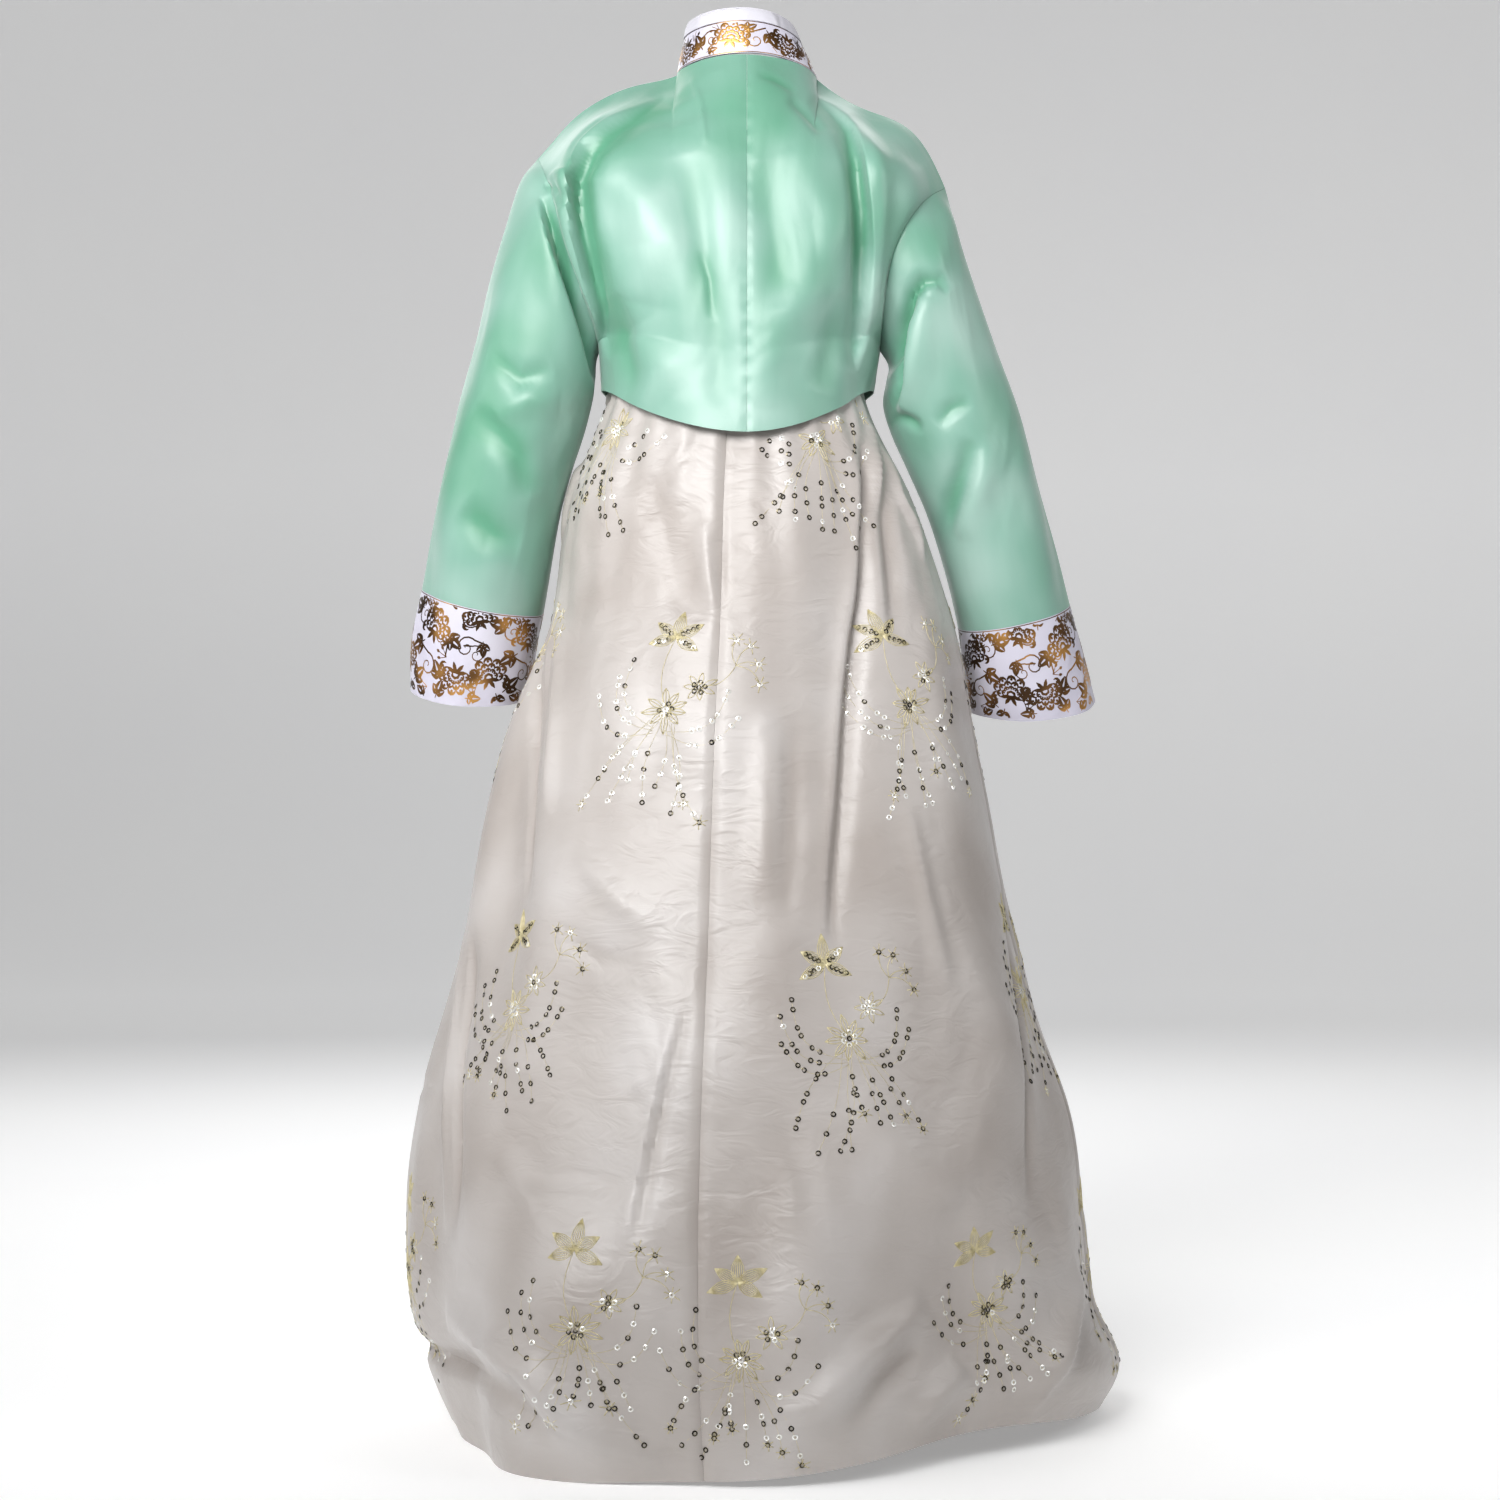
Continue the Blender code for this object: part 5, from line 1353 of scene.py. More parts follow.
def berries(centre, angle, size, mirror=1.0):
    """Three small buds on a short stem."""
    lines = []
    for x, y in ((0.0, 0.75), (-0.5, 0.3), (0.5, 0.35)):
        lines.append((np.linspace((0.0, -0.4), (x, y), 3), swelling(3, 0.09, 0.8)))
        lines.append((np.linspace((x, y - 0.05), (x * 1.25, y + 0.42), 4), swelling(4, 0.34, 0.25)))
    return [(turned(line, centre, angle, size, mirror), width * size) for line, width in lines]


MOTIFS = {"bloom": bloom, "leaf": lobed_leaf, "tendril": tendril, "berries": berries}


def printed(rows, length):
    """The print's lines over a band of a given length, from a table of motifs repeated along it."""
    lines = []
    for k in range(int(math.ceil(length / PRINT_REPEAT))):
        for kind, along, across, angle, size, mirror in rows:
            x = (k + along) * PRINT_REPEAT
            if x <= length:
                lines += MOTIFS[kind]((x, across), angle, size, mirror)
    return lines


def level_line(start, end, height, count):
    """A thin printed line along a band."""
    return np.stack([np.linspace(start, end, count), np.full(count, height)], axis=-1), np.full(count, LINE_WIDTH)


def clipped(lines, low, high):
    """Lines cut to the stretches of three or more points that lie between two heights across the band."""
    kept = []
    for flat, widths in lines:
        margin = widths / 2
        inside = (flat[:, 1] - margin > low) & (flat[:, 1] + margin < high)
        start = None
        for i in range(len(flat) + 1):
            if i < len(flat) and inside[i]:
                start = i if start is None else start
                continue
            if start is not None and i - start >= 3:
                kept.append((flat[start:i], widths[start:i]))
            start = None
    return kept


def star_flower(centre, radius, spikes, draw, lines_each=1):
    """An embroidered flower of pointed thread petals."""
    lines = []
    first = draw.uniform(0, 360)
    points = 3 if lines_each == 1 else 5
    for i in range(spikes):
        way = math.radians(first + 360 * i / spikes + draw.uniform(-9, 9))
        tip = radius * draw.uniform(0.82, 1.12) * np.array((math.cos(way), math.sin(way)))
        side = np.array((-math.sin(way), math.cos(way))) * radius * 0.15
        start = tip * 0.16
        for s in np.linspace(-1, 1, lines_each) if lines_each > 1 else (0.0,):
            t = np.linspace(0, 1, points)[:, None]
            line = start + (tip - start) * t + side * s * np.sin(math.pi * t)
            lines.append((centre + line, np.full(points, THREAD_WIDTH)))
    return lines


def thread_leaf(base, way, length, width):
    """A pointed leaf filled with threads, and places for a row of sequins down its middle."""
    a = math.radians(way)
    ahead = np.array((math.cos(a), math.sin(a)))
    side = np.array((-math.sin(a), math.cos(a)))
    t = np.linspace(0, 1, 6)[:, None]
    lines = []
    for s in np.linspace(-1, 1, 7):
        line = base + ahead * length * t + side * (s * width / 2) * np.sin(math.pi * t**0.85)
        lines.append((line, np.full(6, THREAD_WIDTH)))
    row = [base + ahead * length * share for share in (0.26, 0.44, 0.62, 0.80)]
    return lines, row


def curved(start, end, bow, count=8):
    """A stem from start to end that bows to one side."""
    start = np.array(start, float)
    end = np.array(end, float)
    t = np.linspace(0, 1, count)[:, None]
    step = end - start
    side = np.array((-step[1], step[0]))
    return start + step * t + side * bow * np.sin(math.pi * t)


def spray(draw, thready, bright):
    """One embroidered spray about 0.16 by 0.19 m, drawn flat: thread lines, and sequin places with their tone.

    thready sprays have fewer sequins above; bright is the share of sequins that are bright.
    """
    lines = []
    dots = []

    def dot(place, share=bright):
        dots.append((np.array(place, float), draw.random() < share))

    def stem(points, width=STEM_WIDTH):
        lines.append((points, np.full(len(points), width)))

    top = np.array((-0.010, 0.074))
    for i, way in enumerate((92, 38, -22, 150, 208)):
        leaf, row = thread_leaf(top, way + draw.uniform(-6, 6), draw.uniform(0.023, 0.029), 0.011)
        lines += leaf
        if i and not thready:
            for place in row:
                dot(place, 0.2)
    main = np.array((0.0, 0.006))
    lines += star_flower(main, 0.021, 9, draw, 3)
    second = np.array((0.024, 0.031))
    lines += star_flower(second, 0.015, 7, draw, 2)
    for middle, reach, count in ((main, 0.0058, 6), (second, 0.0052, 5)):
        tone = bright if thready else 1 - bright
        for i in range(count):
            way = 2 * math.pi * i / count + 0.3
            dot(middle + reach * np.array((math.cos(way), math.sin(way))), tone)
        dot(middle, tone)
    bud = np.array((0.050, 0.056))
    stem(curved(second, bud, -0.18))
    for x, y in ((0.058, 0.076), (0.069, 0.060), (0.044, 0.080), (0.075, 0.042)):
        stem(curved(bud, (x, y), 0.15, 5))
        lines.extend(star_flower(np.array((x, y)), 0.0075, 6, draw))
        dot((x, y))
    stem(curved(main, top, 0.12))
    arcs = (
        (-1, 0.044, 0.020, 0.24), (-1, 0.056, 0.004, 0.26), (-1, 0.066, -0.016, 0.28),
        (1, 0.050, 0.002, -0.26), (1, 0.062, -0.020, -0.28),
    )
    for side, out, rise, bow in arcs:
        tip = main + np.array((side * out, rise + 0.020)) + draw.uniform(-0.004, 0.004, 2)
        low = main + np.array((side * 0.006, -0.010 - 0.2 * out))
        line = curved(low, tip, bow, 11)
        stem(line, HAIR_WIDTH)
        for k in (4, 6, 8, 10) if thready else (3, 4, 6, 7, 9, 10):
            dot(line[k])
    for i in range(9):
        start = main + np.array((-0.012 + 0.003 * i, -0.012))
        length = draw.uniform(0.056, 0.098)
        end = main + np.array((-0.060 + 0.0145 * i + draw.uniform(-0.004, 0.004), -length - 0.004))
        line = curved(start, end, draw.uniform(-0.12, 0.12), 11)
        stem(line, HAIR_WIDTH)
        if draw.random() < (0.6 if thready else 0.25):
            lines.extend(star_flower(end, draw.uniform(0.005, 0.008), 6, draw))
        dot(end)
        for k in (6, 8) if i % 2 else (4, 6, 7, 9):
            dot(line[k])
    return lines, dots


def line_places(points, gap):
    """Evenly spaced places and directions along a line of points."""
    steps = np.linalg.norm(np.diff(points, axis=0), axis=1)
    run = np.concatenate([[0.0], np.cumsum(steps)])
    at = np.arange(gap / 2, run[-1], gap)
    places = np.stack([np.interp(at, run, points[:, i]) for i in range(3)], axis=-1)
    ahead = np.stack([np.interp(at + gap / 4, run, points[:, i]) for i in range(3)], axis=-1)
    return places, unit(ahead - places)


def riding(piece, nodes=()):
    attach(piece, "root")
    if nodes:
        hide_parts(*nodes)
    return piece


mint = cloth_material(
    "mint_satin_cloth", (0.10, 0.31, 0.195), (0.205, 0.395, 0.315), (0.33, 0.50, 0.435), 900.0, 0.10, 0.39, 0.36,
    (0.93, 1.0, 0.97), 9.0, 0.35, 0.10,
)
ivory = cloth_material(
    "ivory_satin_cloth", (0.37, 0.33, 0.305), (0.445, 0.41, 0.388), (0.51, 0.48, 0.465), 900.0, 0.10, 0.39, 0.22,
    (1.0, 0.98, 0.97), 7.5, 0.35, 0.38, (0.7, 0.7, 1.5),
)
white = cloth_material(
    "white_cotton_cloth", (0.56, 0.55, 0.61), (0.64, 0.63, 0.69), (0.72, 0.71, 0.76), 700.0, 0.3, 0.68, 0.15,
    (1.0, 1.0, 1.0), 20.0,
)
lilac = cloth_material(
    "print_ground_cloth", (0.56, 0.54, 0.64), (0.64, 0.62, 0.72), (0.72, 0.70, 0.79), 900.0, 0.15, 0.42, 0.2,
    (1.0, 1.0, 1.0), 12.0, 0.3,
)
gold = small_material(
    "gold_foil", ((0.40, (0.060, 0.030, 0.012)), (0.52, (0.22, 0.105, 0.034)), (0.66, (0.66, 0.34, 0.095))),
    22.0, 0.30, 0.75,
)
thread = small_material(
    "pale_gold_thread", ((0.35, (0.52, 0.45, 0.24)), (0.65, (0.70, 0.63, 0.40))), 160.0, 0.45, 0.0, 0.5,
)
bright_sequin = small_material(
    "bright_sequin", ((0.40, (0.80, 0.79, 0.74)), (0.60, (0.97, 0.97, 0.95))), 90.0, 0.18, 0.35,
)
dark_sequin = small_material(
    "dark_sequin", ((0.40, (0.022, 0.018, 0.012)), (0.62, (0.11, 0.095, 0.06))), 120.0, 0.24, 0.7,
)
white_thread = small_material(
    "white_sewing_thread", ((0.4, (0.68, 0.67, 0.70)), (0.6, (0.80, 0.79, 0.82))), 300.0, 0.6, 0.0,
)


def build_skirt():
    columns = PLEATS * CELLS_PER_PLEAT
    angles = SEAM_ANGLE + np.arange(columns) * 360.0 / columns
    share = np.linspace(0, 1, SKIRT_ROWS_DOWN)
    heights = SKIRT_TOP * (1 - share)
    angles, heights = np.meshgrid(angles, heights)
    outer, painted_crease_shades = skirt_cloth(angles, heights)
    out = grid_normals(outer, ring=True)
    if (outer[..., :2] * out[..., :2]).sum() < 0:
        out = -out
    inner = outer - out * SATIN_WALL
    inner[:, :, 2] = outer[:, :, 2]
    per_panel = columns // len(PANELS)
    for i, name in enumerate(PANELS):
        picked = np.arange(i * per_panel, (i + 1) * per_panel + 1) % columns
        half = FINE_GAP / 2
        front = trimmed(outer[:, picked], half, half)
        piece = shell(
            f"{name}_cloth", front, trimmed(inner[:, picked], half, half), ivory, painted_crease_shades=painted_crease_shades[:, picked]
        )
        riding(piece, [name])

    def cloth(x, y):
        column = (x - SEAM_ANGLE) / 360.0 * columns
        row = (SKIRT_TOP - y) / SKIRT_TOP * (SKIRT_ROWS_DOWN - 1)
        return sampled(outer, row, column, True), unit(sampled(out, row, column, True))

    return cloth


def build_embroidery(skirt):
    """Sprays over the whole skirt. Flat x runs to the right as seen from outside, towards smaller angles."""
    lines = []
    places = {True: [], False: []}
    draw = np.random.default_rng(SPRAY_SEED)
    for degrees, height in SPRAYS:
        spray_lines, dots = spray(draw, height < 0.2, BRIGHT_SHARES[0.2 < height, height > 0.6, height > 0.9])
        turn = draw.uniform(-SPRAY_TURN, SPRAY_TURN)
        middle = height - SPRAY_DROP

        def placed(flat):
            flat = turned(flat, (0.0, 0.0), turn)
            h = middle + flat[:, 1]
            radius = skirt_radius(np.clip(h, 0.0, SKIRT_TOP))
            return np.stack([degrees - np.degrees(flat[:, 0] / radius), h], axis=-1)

        for flat, widths in spray_lines:
            line = placed(flat)
            if line[:, 1].min() > 0.004 and (line[:, 1] < hem_height(line[:, 0]) - 0.002).all():
                lines.append((line, widths))
        for place, bright in dots:
            line = placed(np.array([place]))[0]
            if 0.008 < line[1] < hem_height(line[0]) - 0.006:
                places[bright].append(line)

    riding(embroidery_threads(skirt, lines))
    for bright, name, material in ((True, "bright_sequins", bright_sequin), (False, "dark_sequins", dark_sequin)):
        at = np.array(places[bright])
        points, out = skirt(at[:, 0], at[:, 1])
        tilt = np.random.default_rng(SEQUIN_SEED + bright).normal(scale=SEQUIN_TILT, size=out.shape)
        out = unit(out + tilt)
        along = unit(np.cross(out, np.array((0.0, 0.0, 1.0))))
        riding(repeated(name, "sequin", points + out * SEQUIN_LIFT, out, along, material))


def embroidery_threads(cloth, lines):
    """Threads that lie on the skirt: strips with a low triangular section, built in space."""
    ring_grids = []
    for flat, widths in lines:
        points, out = cloth(flat[:, 0], flat[:, 1])
        side = unit(np.cross(out, unit(np.gradient(points, axis=0))))
        half = widths[:, None] / 2
        left = points - side * half + out * THREAD_LIFT
        right = points + side * half + out * THREAD_LIFT
        ring_grids.append(np.stack([left, points + out * (half * 1.3), right], axis=1))
    return tubes("embroidery_threads", thread, ring_grids, 180)


def upsampled(rows, per_row):
    """Rings between the given ones, along smooth curves."""
    count = (len(rows) - 1) * per_row + 1
    flat = through(rows.reshape(len(rows), -1), count)
    return flat.reshape(count, *rows.shape[1:])


def build_jacket():
    left_back = back_half("left")
    right_back = back_half("right")
    back = np.concatenate([right_back[:, ::-1], left_back[:, 1:]], axis=1)
    fronts = {
        "left": front_half("left", 1.0, OUTER_OVERLAP_ANGLE, FRONT_LIFT),
        "right": front_half("right", INNER_NECKLINE_END, INNER_OVERLAP_ANGLE, 0.0),
    }
    chest = np.array((0.0, 0.0, -0.16))
    back_normals = outward(grid_normals(back), back, chest)
    middle = right_back.shape[1] - 1
    panels = {
        "left": (back[:, middle:], back_normals[:, middle:]),
        "right": (back[:, : middle + 1][:, ::-1], back_normals[:, : middle + 1][:, ::-1]),
    }
    cloths = {}
    for side, rows, cuff_rows in (
        ("left", LEFT_SLEEVE_ROWS, LEFT_CUFF_ROWS),
        ("right", RIGHT_SLEEVE_ROWS, RIGHT_CUFF_ROWS),
    ):
        back_grid, back_out = panels[side]
        front_grid = fronts[side]
        front_out = outward(grid_normals(front_grid), front_grid, chest)
        sleeve, cuff = sleeve_grids(side, rows, cuff_rows)
        tube = np.concatenate([sleeve, cuff[1:]])
        tube = upsampled(tube, SLEEVE_ROWS_PER_RING)
        split = (len(sleeve) - 1) * SLEEVE_ROWS_PER_RING
        tube_out = grid_normals(tube, ring=True)
        axis = tube.mean(axis=1, keepdims=True)
        tube_out = outward(tube_out, tube, axis)
        cells = ARMHOLE_CELLS
        share_back = unit(back_out[: cells + 1, -1] + tube_out[0, : cells + 1])
        ring_front = np.concatenate([tube_out[0, :1], tube_out[0, :cells - 1:-1]])
        share_front = unit(front_out[: cells + 1, -1] + ring_front)
        shoulder = slice(NECK_CELLS, None)
        front_shoulder = slice(OVERLAP_CELLS + NECK_CELLS, None)
        ridge = unit(back_out[0, shoulder] + front_out[0, front_shoulder])
        seam = unit(back_out[cells:, -1] + front_out[cells:, -1])
        tip = unit(share_back[0] + share_front[0])
        pit = unit(share_back[cells] + share_front[cells])
        share_back[0] = share_front[0] = ridge[-1] = tip
        share_back[cells] = share_front[cells] = seam[0] = pit
        back_out[: cells + 1, -1] = share_back
        front_out[: cells + 1, -1] = share_front
        back_out[0, shoulder] = ridge
        front_out[0, front_shoulder] = ridge
        back_out[cells:, -1] = seam
        front_out[cells:, -1] = seam
        tube_out[0, : cells + 1] = share_back
        tube_out[0, cells + 1 :] = share_front[-2:0:-1]
        jacket_panel(f"jacket_back_{side}", back_grid, back_out, True)
        if side == "left":
            centre = OVERLAP_CELLS
            jacket_panel("jacket_overlap", front_grid[:, : centre + 1], front_out[:, : centre + 1])
            jacket_panel("jacket_front_left", front_grid[:, centre:], front_out[:, centre:])
        else:
            jacket_panel("jacket_front_right", front_grid, front_out)
        moved, painted_crease_shades = crease_jacket(tube, tube_out)
        inner = moved - tube_out * SATIN_WALL
        for name, part, material, slot in (
            ("sleeve", slice(0, split + 1), mint, "mint_satin"),
            ("cuff", slice(split, None), lilac, "gold_print"),
        ):
            outer = trimmed_rows(moved[part], FINE_GAP, 0.0)
            piece = shell(
                f"{name}_{side}_cloth", outer, trimmed_rows(inner[part], FINE_GAP, 0.0), material, True, painted_crease_shades[part]
            )
            riding(piece, [f"{name}_{side}"])
            cloths[name, side] = (outer, tube_out[part])
    return cloths


def jacket_panel(name, grid, out, seamed=False):
    moved, painted_crease_shades = crease_jacket(grid, out)
    moved = kept_off_skirt(moved)
    if seamed:
        beside_seam = np.abs(grid[..., 0])
        pucker = 1 + 0.5 * np.sin(grid[..., 2] * 2 * math.pi / SEAM_PUCKER)
        dip = SEAM_DIP * pucker * np.exp(-((beside_seam / SEAM_ROLL) ** 2))
        moved[..., 1] -= dip * np.clip(out[..., 1], 0, 1)
    inner = moved - out * SATIN_WALL
    half = FINE_GAP / 2
    outer = trimmed_rows(trimmed(moved, half, half), half, 0.0)
    inner = trimmed_rows(trimmed(inner, half, half), half, 0.0)
    piece = shell(f"{name}_cloth", outer, inner, mint, painted_crease_shades=painted_crease_shades)
    riding(piece, [name])


def build_cuff_print(cloths):
    for side in ("left", "right"):
        outer, out = cloths["cuff", side]
        rows, columns = outer.shape[:2]
        around = lengths_along(closed(outer), 1)[-1]
        down = lengths_along(outer, 0)[-1]

        def cloth(u, v):
            row = (1 - v / down) * (rows - 1)
            column = u / around * columns
            return sampled(outer, row, column, True), unit(sampled(out, row, column, True))

        lines = clipped(printed(CUFF_PRINT, around - 0.01), 0.002, down - PRINT_MARGIN)
        lines.append(level_line(0, around, down - 0.0012, 150))
        foil_print(f"cuff_{side}_print", cloth, lines)


def build_collar():
    path, across, out = collar_frames()
    places = np.linspace(2 * FINE_GAP, COLLAR_WIDTH, COLLAR_CELLS + 1)
    pillow = COLLAR_PILLOW * np.sin(np.linspace(0, math.pi, COLLAR_CELLS + 1))
    outer = path[:, None] + across[:, None] * places[None, :, None] + out[:, None] * pillow[None, :, None]
    outer += out[:, None] * waves(outer, *COLLAR_WAVES)[..., None]
    piece = shell("collar_cloth", outer, outer - out[:, None] * COLLAR_WALL, lilac)
    riding(piece, ["collar"])
    length = lengths_along(outer, 0)[-1]
    wide = np.broadcast_to(out[:, None], outer.shape)

    def cloth(u, v):
        at = (u / length * (len(path) - 1), v / COLLAR_WIDTH * COLLAR_CELLS)
        return sampled(outer, *at), unit(sampled(wide, *at))

    top = COLLAR_WIDTH - EDGE_STRIP_REACH
    lines = clipped(printed(COLLAR_PRINT, length), PRINT_MARGIN, top - PRINT_MARGIN)
    for height in (top - 0.0008, 0.0010):
        lines.append(level_line(0.001, length - 0.001, height, 300))
    foil_print("collar_print", cloth, lines)
    build_collar_edge(path, across, out)


def build_collar_edge(path, across, out):
    """The white strip folded over the collar's top edge, a little puffed."""
    top = COLLAR_WIDTH
    start = top - EDGE_STRIP_REACH
    wall = COLLAR_WALL
    section = np.array((
        (start, 0.0011), (start + 0.002, 0.0013), (top - 0.004, 0.0013 + EDGE_PUFF * 0.3), (top - 0.001, 0.0012),
        (top + 0.0016, -wall * 0.2), (top + 0.0016, -wall * 0.8), (top - 0.001, -wall - 0.0012),
        (start, -wall - 0.0011), (start, -wall - 0.0004), (top + 0.0006, -wall - 0.0004), (top + 0.0006, 0.0009),
        (start, 0.0009),
    ))
    kept = slice(EDGE_FIRST_POINT, EDGE_LAST_POINT)
    path, across, out = path[kept], across[kept], out[kept]
    rings = path[:, None] + across[:, None] * section[None, :, :1] + out[:, None] * section[None, :, 1:]
    around = np.concatenate([[0.0], np.cumsum(np.linalg.norm(np.diff(section, axis=0), axis=1))])
    uvs = np.stack(np.meshgrid(around, lengths_along(rings, 0)), axis=-1).reshape(-1, 2)
    faces = tube_faces(*rings.shape[:2])
    piece = new_piece("collar_edge_cloth", rings.reshape(-1, 3), faces, white, uvs, 60)
    riding(piece, ["collar_edge"])


def build_band():
    angles = np.arange(BAND_COLUMNS) * 360.0 / BAND_COLUMNS
    heights = SKIRT_TOP + FINE_GAP + BAND_HEIGHT * np.linspace(1, 0, BAND_ROWS)
    angles, heights = np.meshgrid(angles, heights)
    outer = skirt_points(angles, heights, pleated=False)
    normals = grid_normals(outer, ring=True)
    if (outer * normals)[..., :2].sum() < 0:
        normals = -normals
    normals[..., 2] = 0
    normals = unit(normals)
    outer = outer - normals * (0.0004 + np.abs(waves(outer, *BAND_WAVES)))[..., None]
    piece = shell("skirt_band_cloth", outer, outer - normals * SATIN_WALL, white, True)
    riding(piece, ["skirt_band"])
    for row, name in ((1, "band_top_stitches"), (BAND_ROWS - 2, "band_low_stitches")):
        places, along = line_places(closed(outer)[row], STITCH_GAP)
        out = unit(places * np.array((1.0, 1.0, 0.0)))
        riding(repeated(name, "stitch", places + out * 0.0001, out, along, white_thread))


def build_straps():
    """The skirt's shoulder straps, hidden under the jacket."""
    for side in ("left", "right"):
        middle, across, out = strap_frames(side)
        half = STRAP_WIDTH / 2
        places = np.linspace(-half, half, 9)
        sink = STRAP_SINK * np.sin(np.linspace(0, math.pi, len(middle)))[:, None, None]
        outer = middle[:, None] + across[:, None] * places[None, :, None] - out[:, None] * sink
        inner = outer - out[:, None] * SATIN_WALL
        piece = shell(f"skirt_strap_{side}_cloth", outer, inner, white)
        riding(piece, [f"skirt_strap_{side}"])


def strap_frames(side):
    back = STRAP_MIDDLES[side]
    middle = through(np.array(back), 81)
    along = unit(np.gradient(middle, axis=0))
    level = eased(1.3 * np.sin(np.linspace(0, math.pi, len(middle))))[:, None]
    flat = np.array((side_sign(side), 0.0, 0.0))
    tip = unit(np.array(STRAP_TIPS[side]))
    across = unit(tip - along * (along @ tip)[:, None])
    across = unit(flat * (1 - level) + across * level)
    out = unit(np.cross(along, across))
    if out[len(out) // 2, 2] < 0:
        out = -out
    for end in (0, -1):
        across[end] = (side_sign(side), 0.0, 0.0)
        out[end] = (0.0, np.sign(middle[end, 1]), 0.0)
    return middle, across, out


def build_knot():
    a = np.linspace(0, 2 * math.pi, 72, endpoint=False)
    levels = np.linspace(1, -1, 33)
    table = np.array(KNOT_ROWS)
    rings = []
    for level in levels:
        size = np.interp(-level, -table[:, 0], table[:, 1])
        wrap = 1 + 0.05 * np.sin(3 * a + 5 * level) * (1 - level**4) + 0.03 * np.sin(7 * a - 3 * level)
        x = KNOT_CENTRE[0] + KNOT_HALF_WIDTH * size * np.cos(a) * wrap
        y = KNOT_CENTRE[1] + KNOT_HALF_DEPTH * size * np.sin(a) * wrap
        z = KNOT_CENTRE[2] + KNOT_HALF_HEIGHT * level + 0.0012 * np.sin(2 * a + 1.0)
        rings.append(np.stack([x, y, z], axis=-1))
    uvs = np.stack(np.meshgrid(a * KNOT_HALF_WIDTH, levels * KNOT_HALF_HEIGHT), axis=-1).reshape(-1, 2)
    faces = tube_faces(len(levels), len(a))
    piece = new_piece("ribbon_knot_cloth", np.array(rings).reshape(-1, 3), faces, mint, uvs)
    riding(piece, ["ribbon_knot"])


def build_loop():
    a = np.linspace(0, 2 * math.pi, 120, endpoint=False)
    start = KNOT_CENTRE[0] + KNOT_HALF_WIDTH + FINE_GAP
    x = start + LOOP_LENGTH * (0.5 - 0.5 * np.cos(a)) ** 0.8
    share = (x - start) / LOOP_LENGTH
    y = KNOT_CENTRE[1] - LOOP_HALF_DEPTH * np.sin(a) * (0.55 + 0.45 * share)
    top = LOOP_NARROW + (1 - LOOP_NARROW) * eased(share * 2.2)
    rows = []
    for across in np.linspace(0.5, -0.5, 17):
        z = KNOT_CENTRE[2] - LOOP_DROP * share + across * RIBBON_WIDTH * top
        folds = LOOP_FOLDS * np.sin(across * 19 + 1.0) * (1 - eased(share * 1.6)) * np.sign(y - KNOT_CENTRE[1])
        rows.append(np.stack([x, y + folds * np.abs(np.sin(a)), z], axis=-1))
    outer = np.array(rows)
    normals = outward(grid_normals(outer, ring=True), outer, outer.mean(axis=1, keepdims=True))
    normals[..., 2] = 0
    piece = shell("ribbon_loop_cloth", outer, outer - unit(normals) * SATIN_WALL, mint, True)
    riding(piece, ["ribbon_loop"])


def build_tails():
    for name, sizes, gap in (("long", LONG_TAIL, 0.0), ("short", SHORT_TAIL, TAIL_LAYER)):
        outer = tail_cloth(*sizes, gap)
        normals = grid_normals(outer)
        if normals[0, 0, 1] > 0:
            normals = -normals
        piece = shell(f"ribbon_tail_{name}_cloth", outer, outer - normals * SATIN_WALL, mint)
        riding(piece, [f"ribbon_tail_{name}"])


def tail_cloth(top_x, bottom_x, bottom_z, gap):
    z = np.linspace(KNOT_CENTRE[2] - KNOT_HALF_HEIGHT - FINE_GAP, bottom_z, 160)
    t = (z[0] - z) / (z[0] - bottom_z)
    middle = top_x + (bottom_x - top_x) * t
    spread = TAIL_NARROW + (1 - TAIL_NARROW) * eased(t * 3)
    across = np.linspace(-0.5, 0.5, 21)
    x = middle[:, None] + across[None] * RIBBON_WIDTH * spread[:, None]
    heights = np.broadcast_to((z + NECK_HEIGHT)[:, None], x.shape)
    half_width = read(SKIRT_ROWS, SKIRT_COLUMNS, "height", "left", heights)
    angles = 180 - np.degrees(np.arcsin(x / half_width))
    on_skirt = skirt_points(angles, heights, pleated=False)[..., 1] - RIBBON_OFF_SKIRT
    clear_of_jacket = -(HEM_HALF_DEPTH + FRONT_LIFT + RIBBON_OFF_JACKET)
    y = np.minimum(on_skirt, clear_of_jacket) - gap
    swell = eased(t * 4)[:, None] * (1 + np.sin(x * 95 + z[:, None] * 17)) * 0.0012
    return np.stack([x, y - swell, np.broadcast_to(z[:, None], x.shape)], axis=-1)


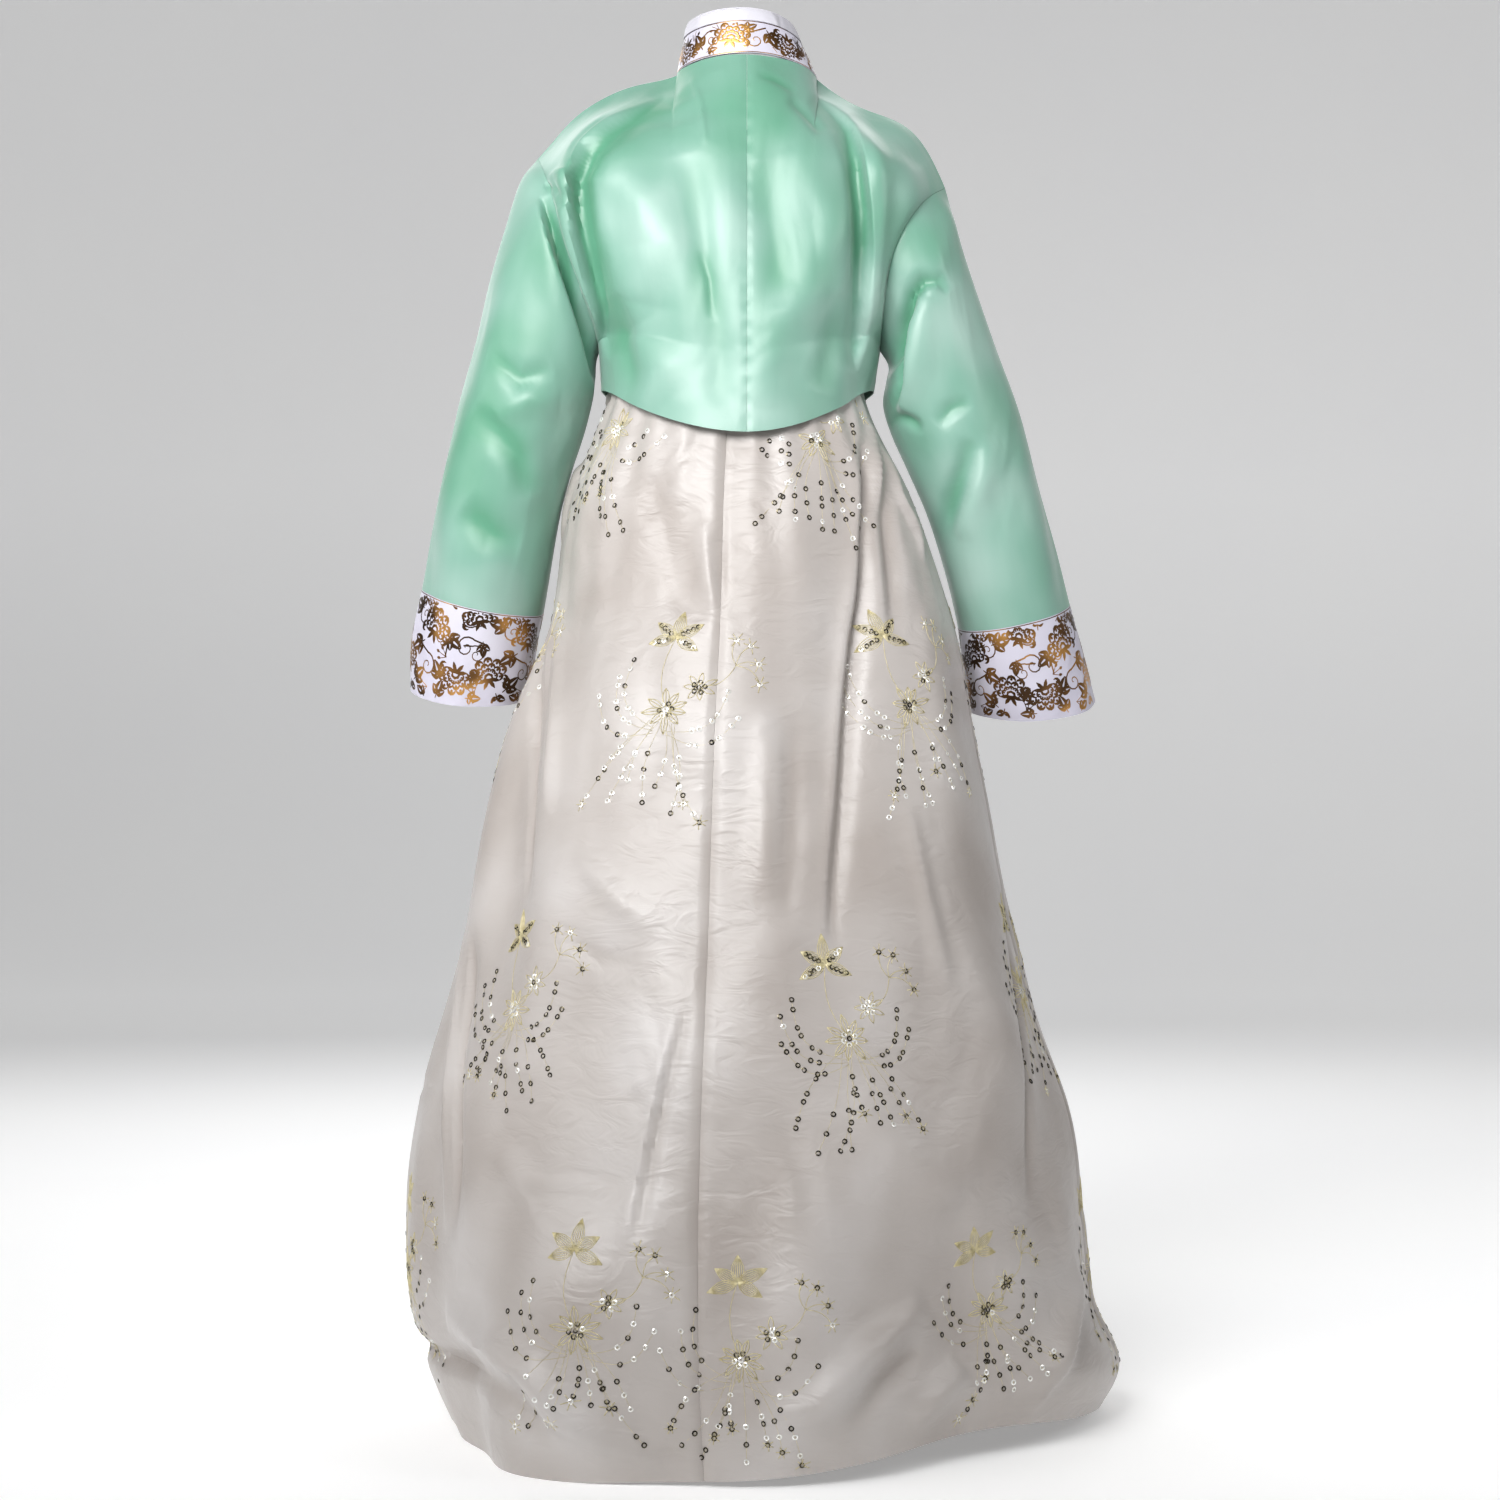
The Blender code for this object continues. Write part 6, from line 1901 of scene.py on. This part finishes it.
def build_stage():
    """Plain pale floor that curves up far away, soft lights, a pale surround and the camera."""
    pale_tones = ((0.3, (0.90, 0.90, 0.91)), (0.7, (0.92, 0.92, 0.92)))
    material = small_material("pale_studio", pale_tones, 1.5, 0.9, 0.0, 0.0)
    glow = material.node_tree.nodes["Principled BSDF"].inputs
    glow["Emission Color"].default_value = (1.0, 1.0, 1.0, 1.0)
    glow["Emission Strength"].default_value = FLOOR_GLOW
    profile = [(FLOOR_REACH, FLOOR_Z), (BEND_START, FLOOR_Z)]
    for a in np.radians(np.linspace(11, 90, 8)):
        profile.append((BEND_START - BEND_RADIUS * math.sin(a), FLOOR_Z + BEND_RADIUS * (1 - math.cos(a))))
    profile.append((BEND_START - BEND_RADIUS, BACKDROP_TOP))
    corners = []
    for y, z in profile:
        corners += [(-FLOOR_REACH, y, z), (FLOOR_REACH, y, z)]
    faces = [(2 * i, 2 * i + 1, 2 * i + 3, 2 * i + 2) for i in range(len(profile) - 1)]
    mesh = bpy.data.meshes.new("studio_floor")
    mesh.from_pydata(corners, [], faces)
    mesh.materials.append(material)
    mesh.shade_smooth()
    linked("studio_floor", mesh)
    world = bpy.data.worlds.new("pale_world")
    world.use_nodes = True
    tree = world.node_tree
    white_light = (1.0, 1.0, 1.0, 1.0)
    soft = filled(tree, tree.nodes["Background"], {"Color": white_light, "Strength": WORLD_STRENGTH})
    pale = node(tree, "ShaderNodeBackground", Color=white_light, Strength=SURROUND_STRENGTH)
    seen = node(tree, "ShaderNodeLightPath")
    both = node(
        tree, "ShaderNodeMixShader", in_0=seen.outputs["Is Camera Ray"], in_1=soft.outputs[0], in_2=pale.outputs[0]
    )
    tree.links.new(both.outputs[0], tree.nodes["World Output"].inputs["Surface"])
    bpy.context.scene.world = world
    for name, place, aim, size, power, spread in LIGHTS:
        light = bpy.data.lights.new(name, "AREA")
        light.energy = power
        light.shape = "RECTANGLE"
        light.size, light.size_y = size
        light.spread = math.radians(spread)
        lamp = linked(name, light)
        lamp.location = place
        lamp.rotation_euler = (Vector(aim) - Vector(place)).to_track_quat("-Z", "Y").to_euler()
    camera = linked("camera", bpy.data.cameras.new("camera"))
    camera.data.lens = CAMERA_LENS
    camera.data.sensor_width = 36
    camera.location = CAMERA_PLACE
    camera.rotation_euler = (math.radians(90), 0, math.radians(180))
    bpy.context.scene.camera = camera
    bpy.context.scene.view_settings.view_transform = "Standard"


skirt_place = build_skirt()
build_embroidery(skirt_place)
cloth_grids = build_jacket()
build_cuff_print(cloth_grids)
build_collar()
build_band()
build_straps()
build_knot()
build_loop()
build_tails()
build_stage()
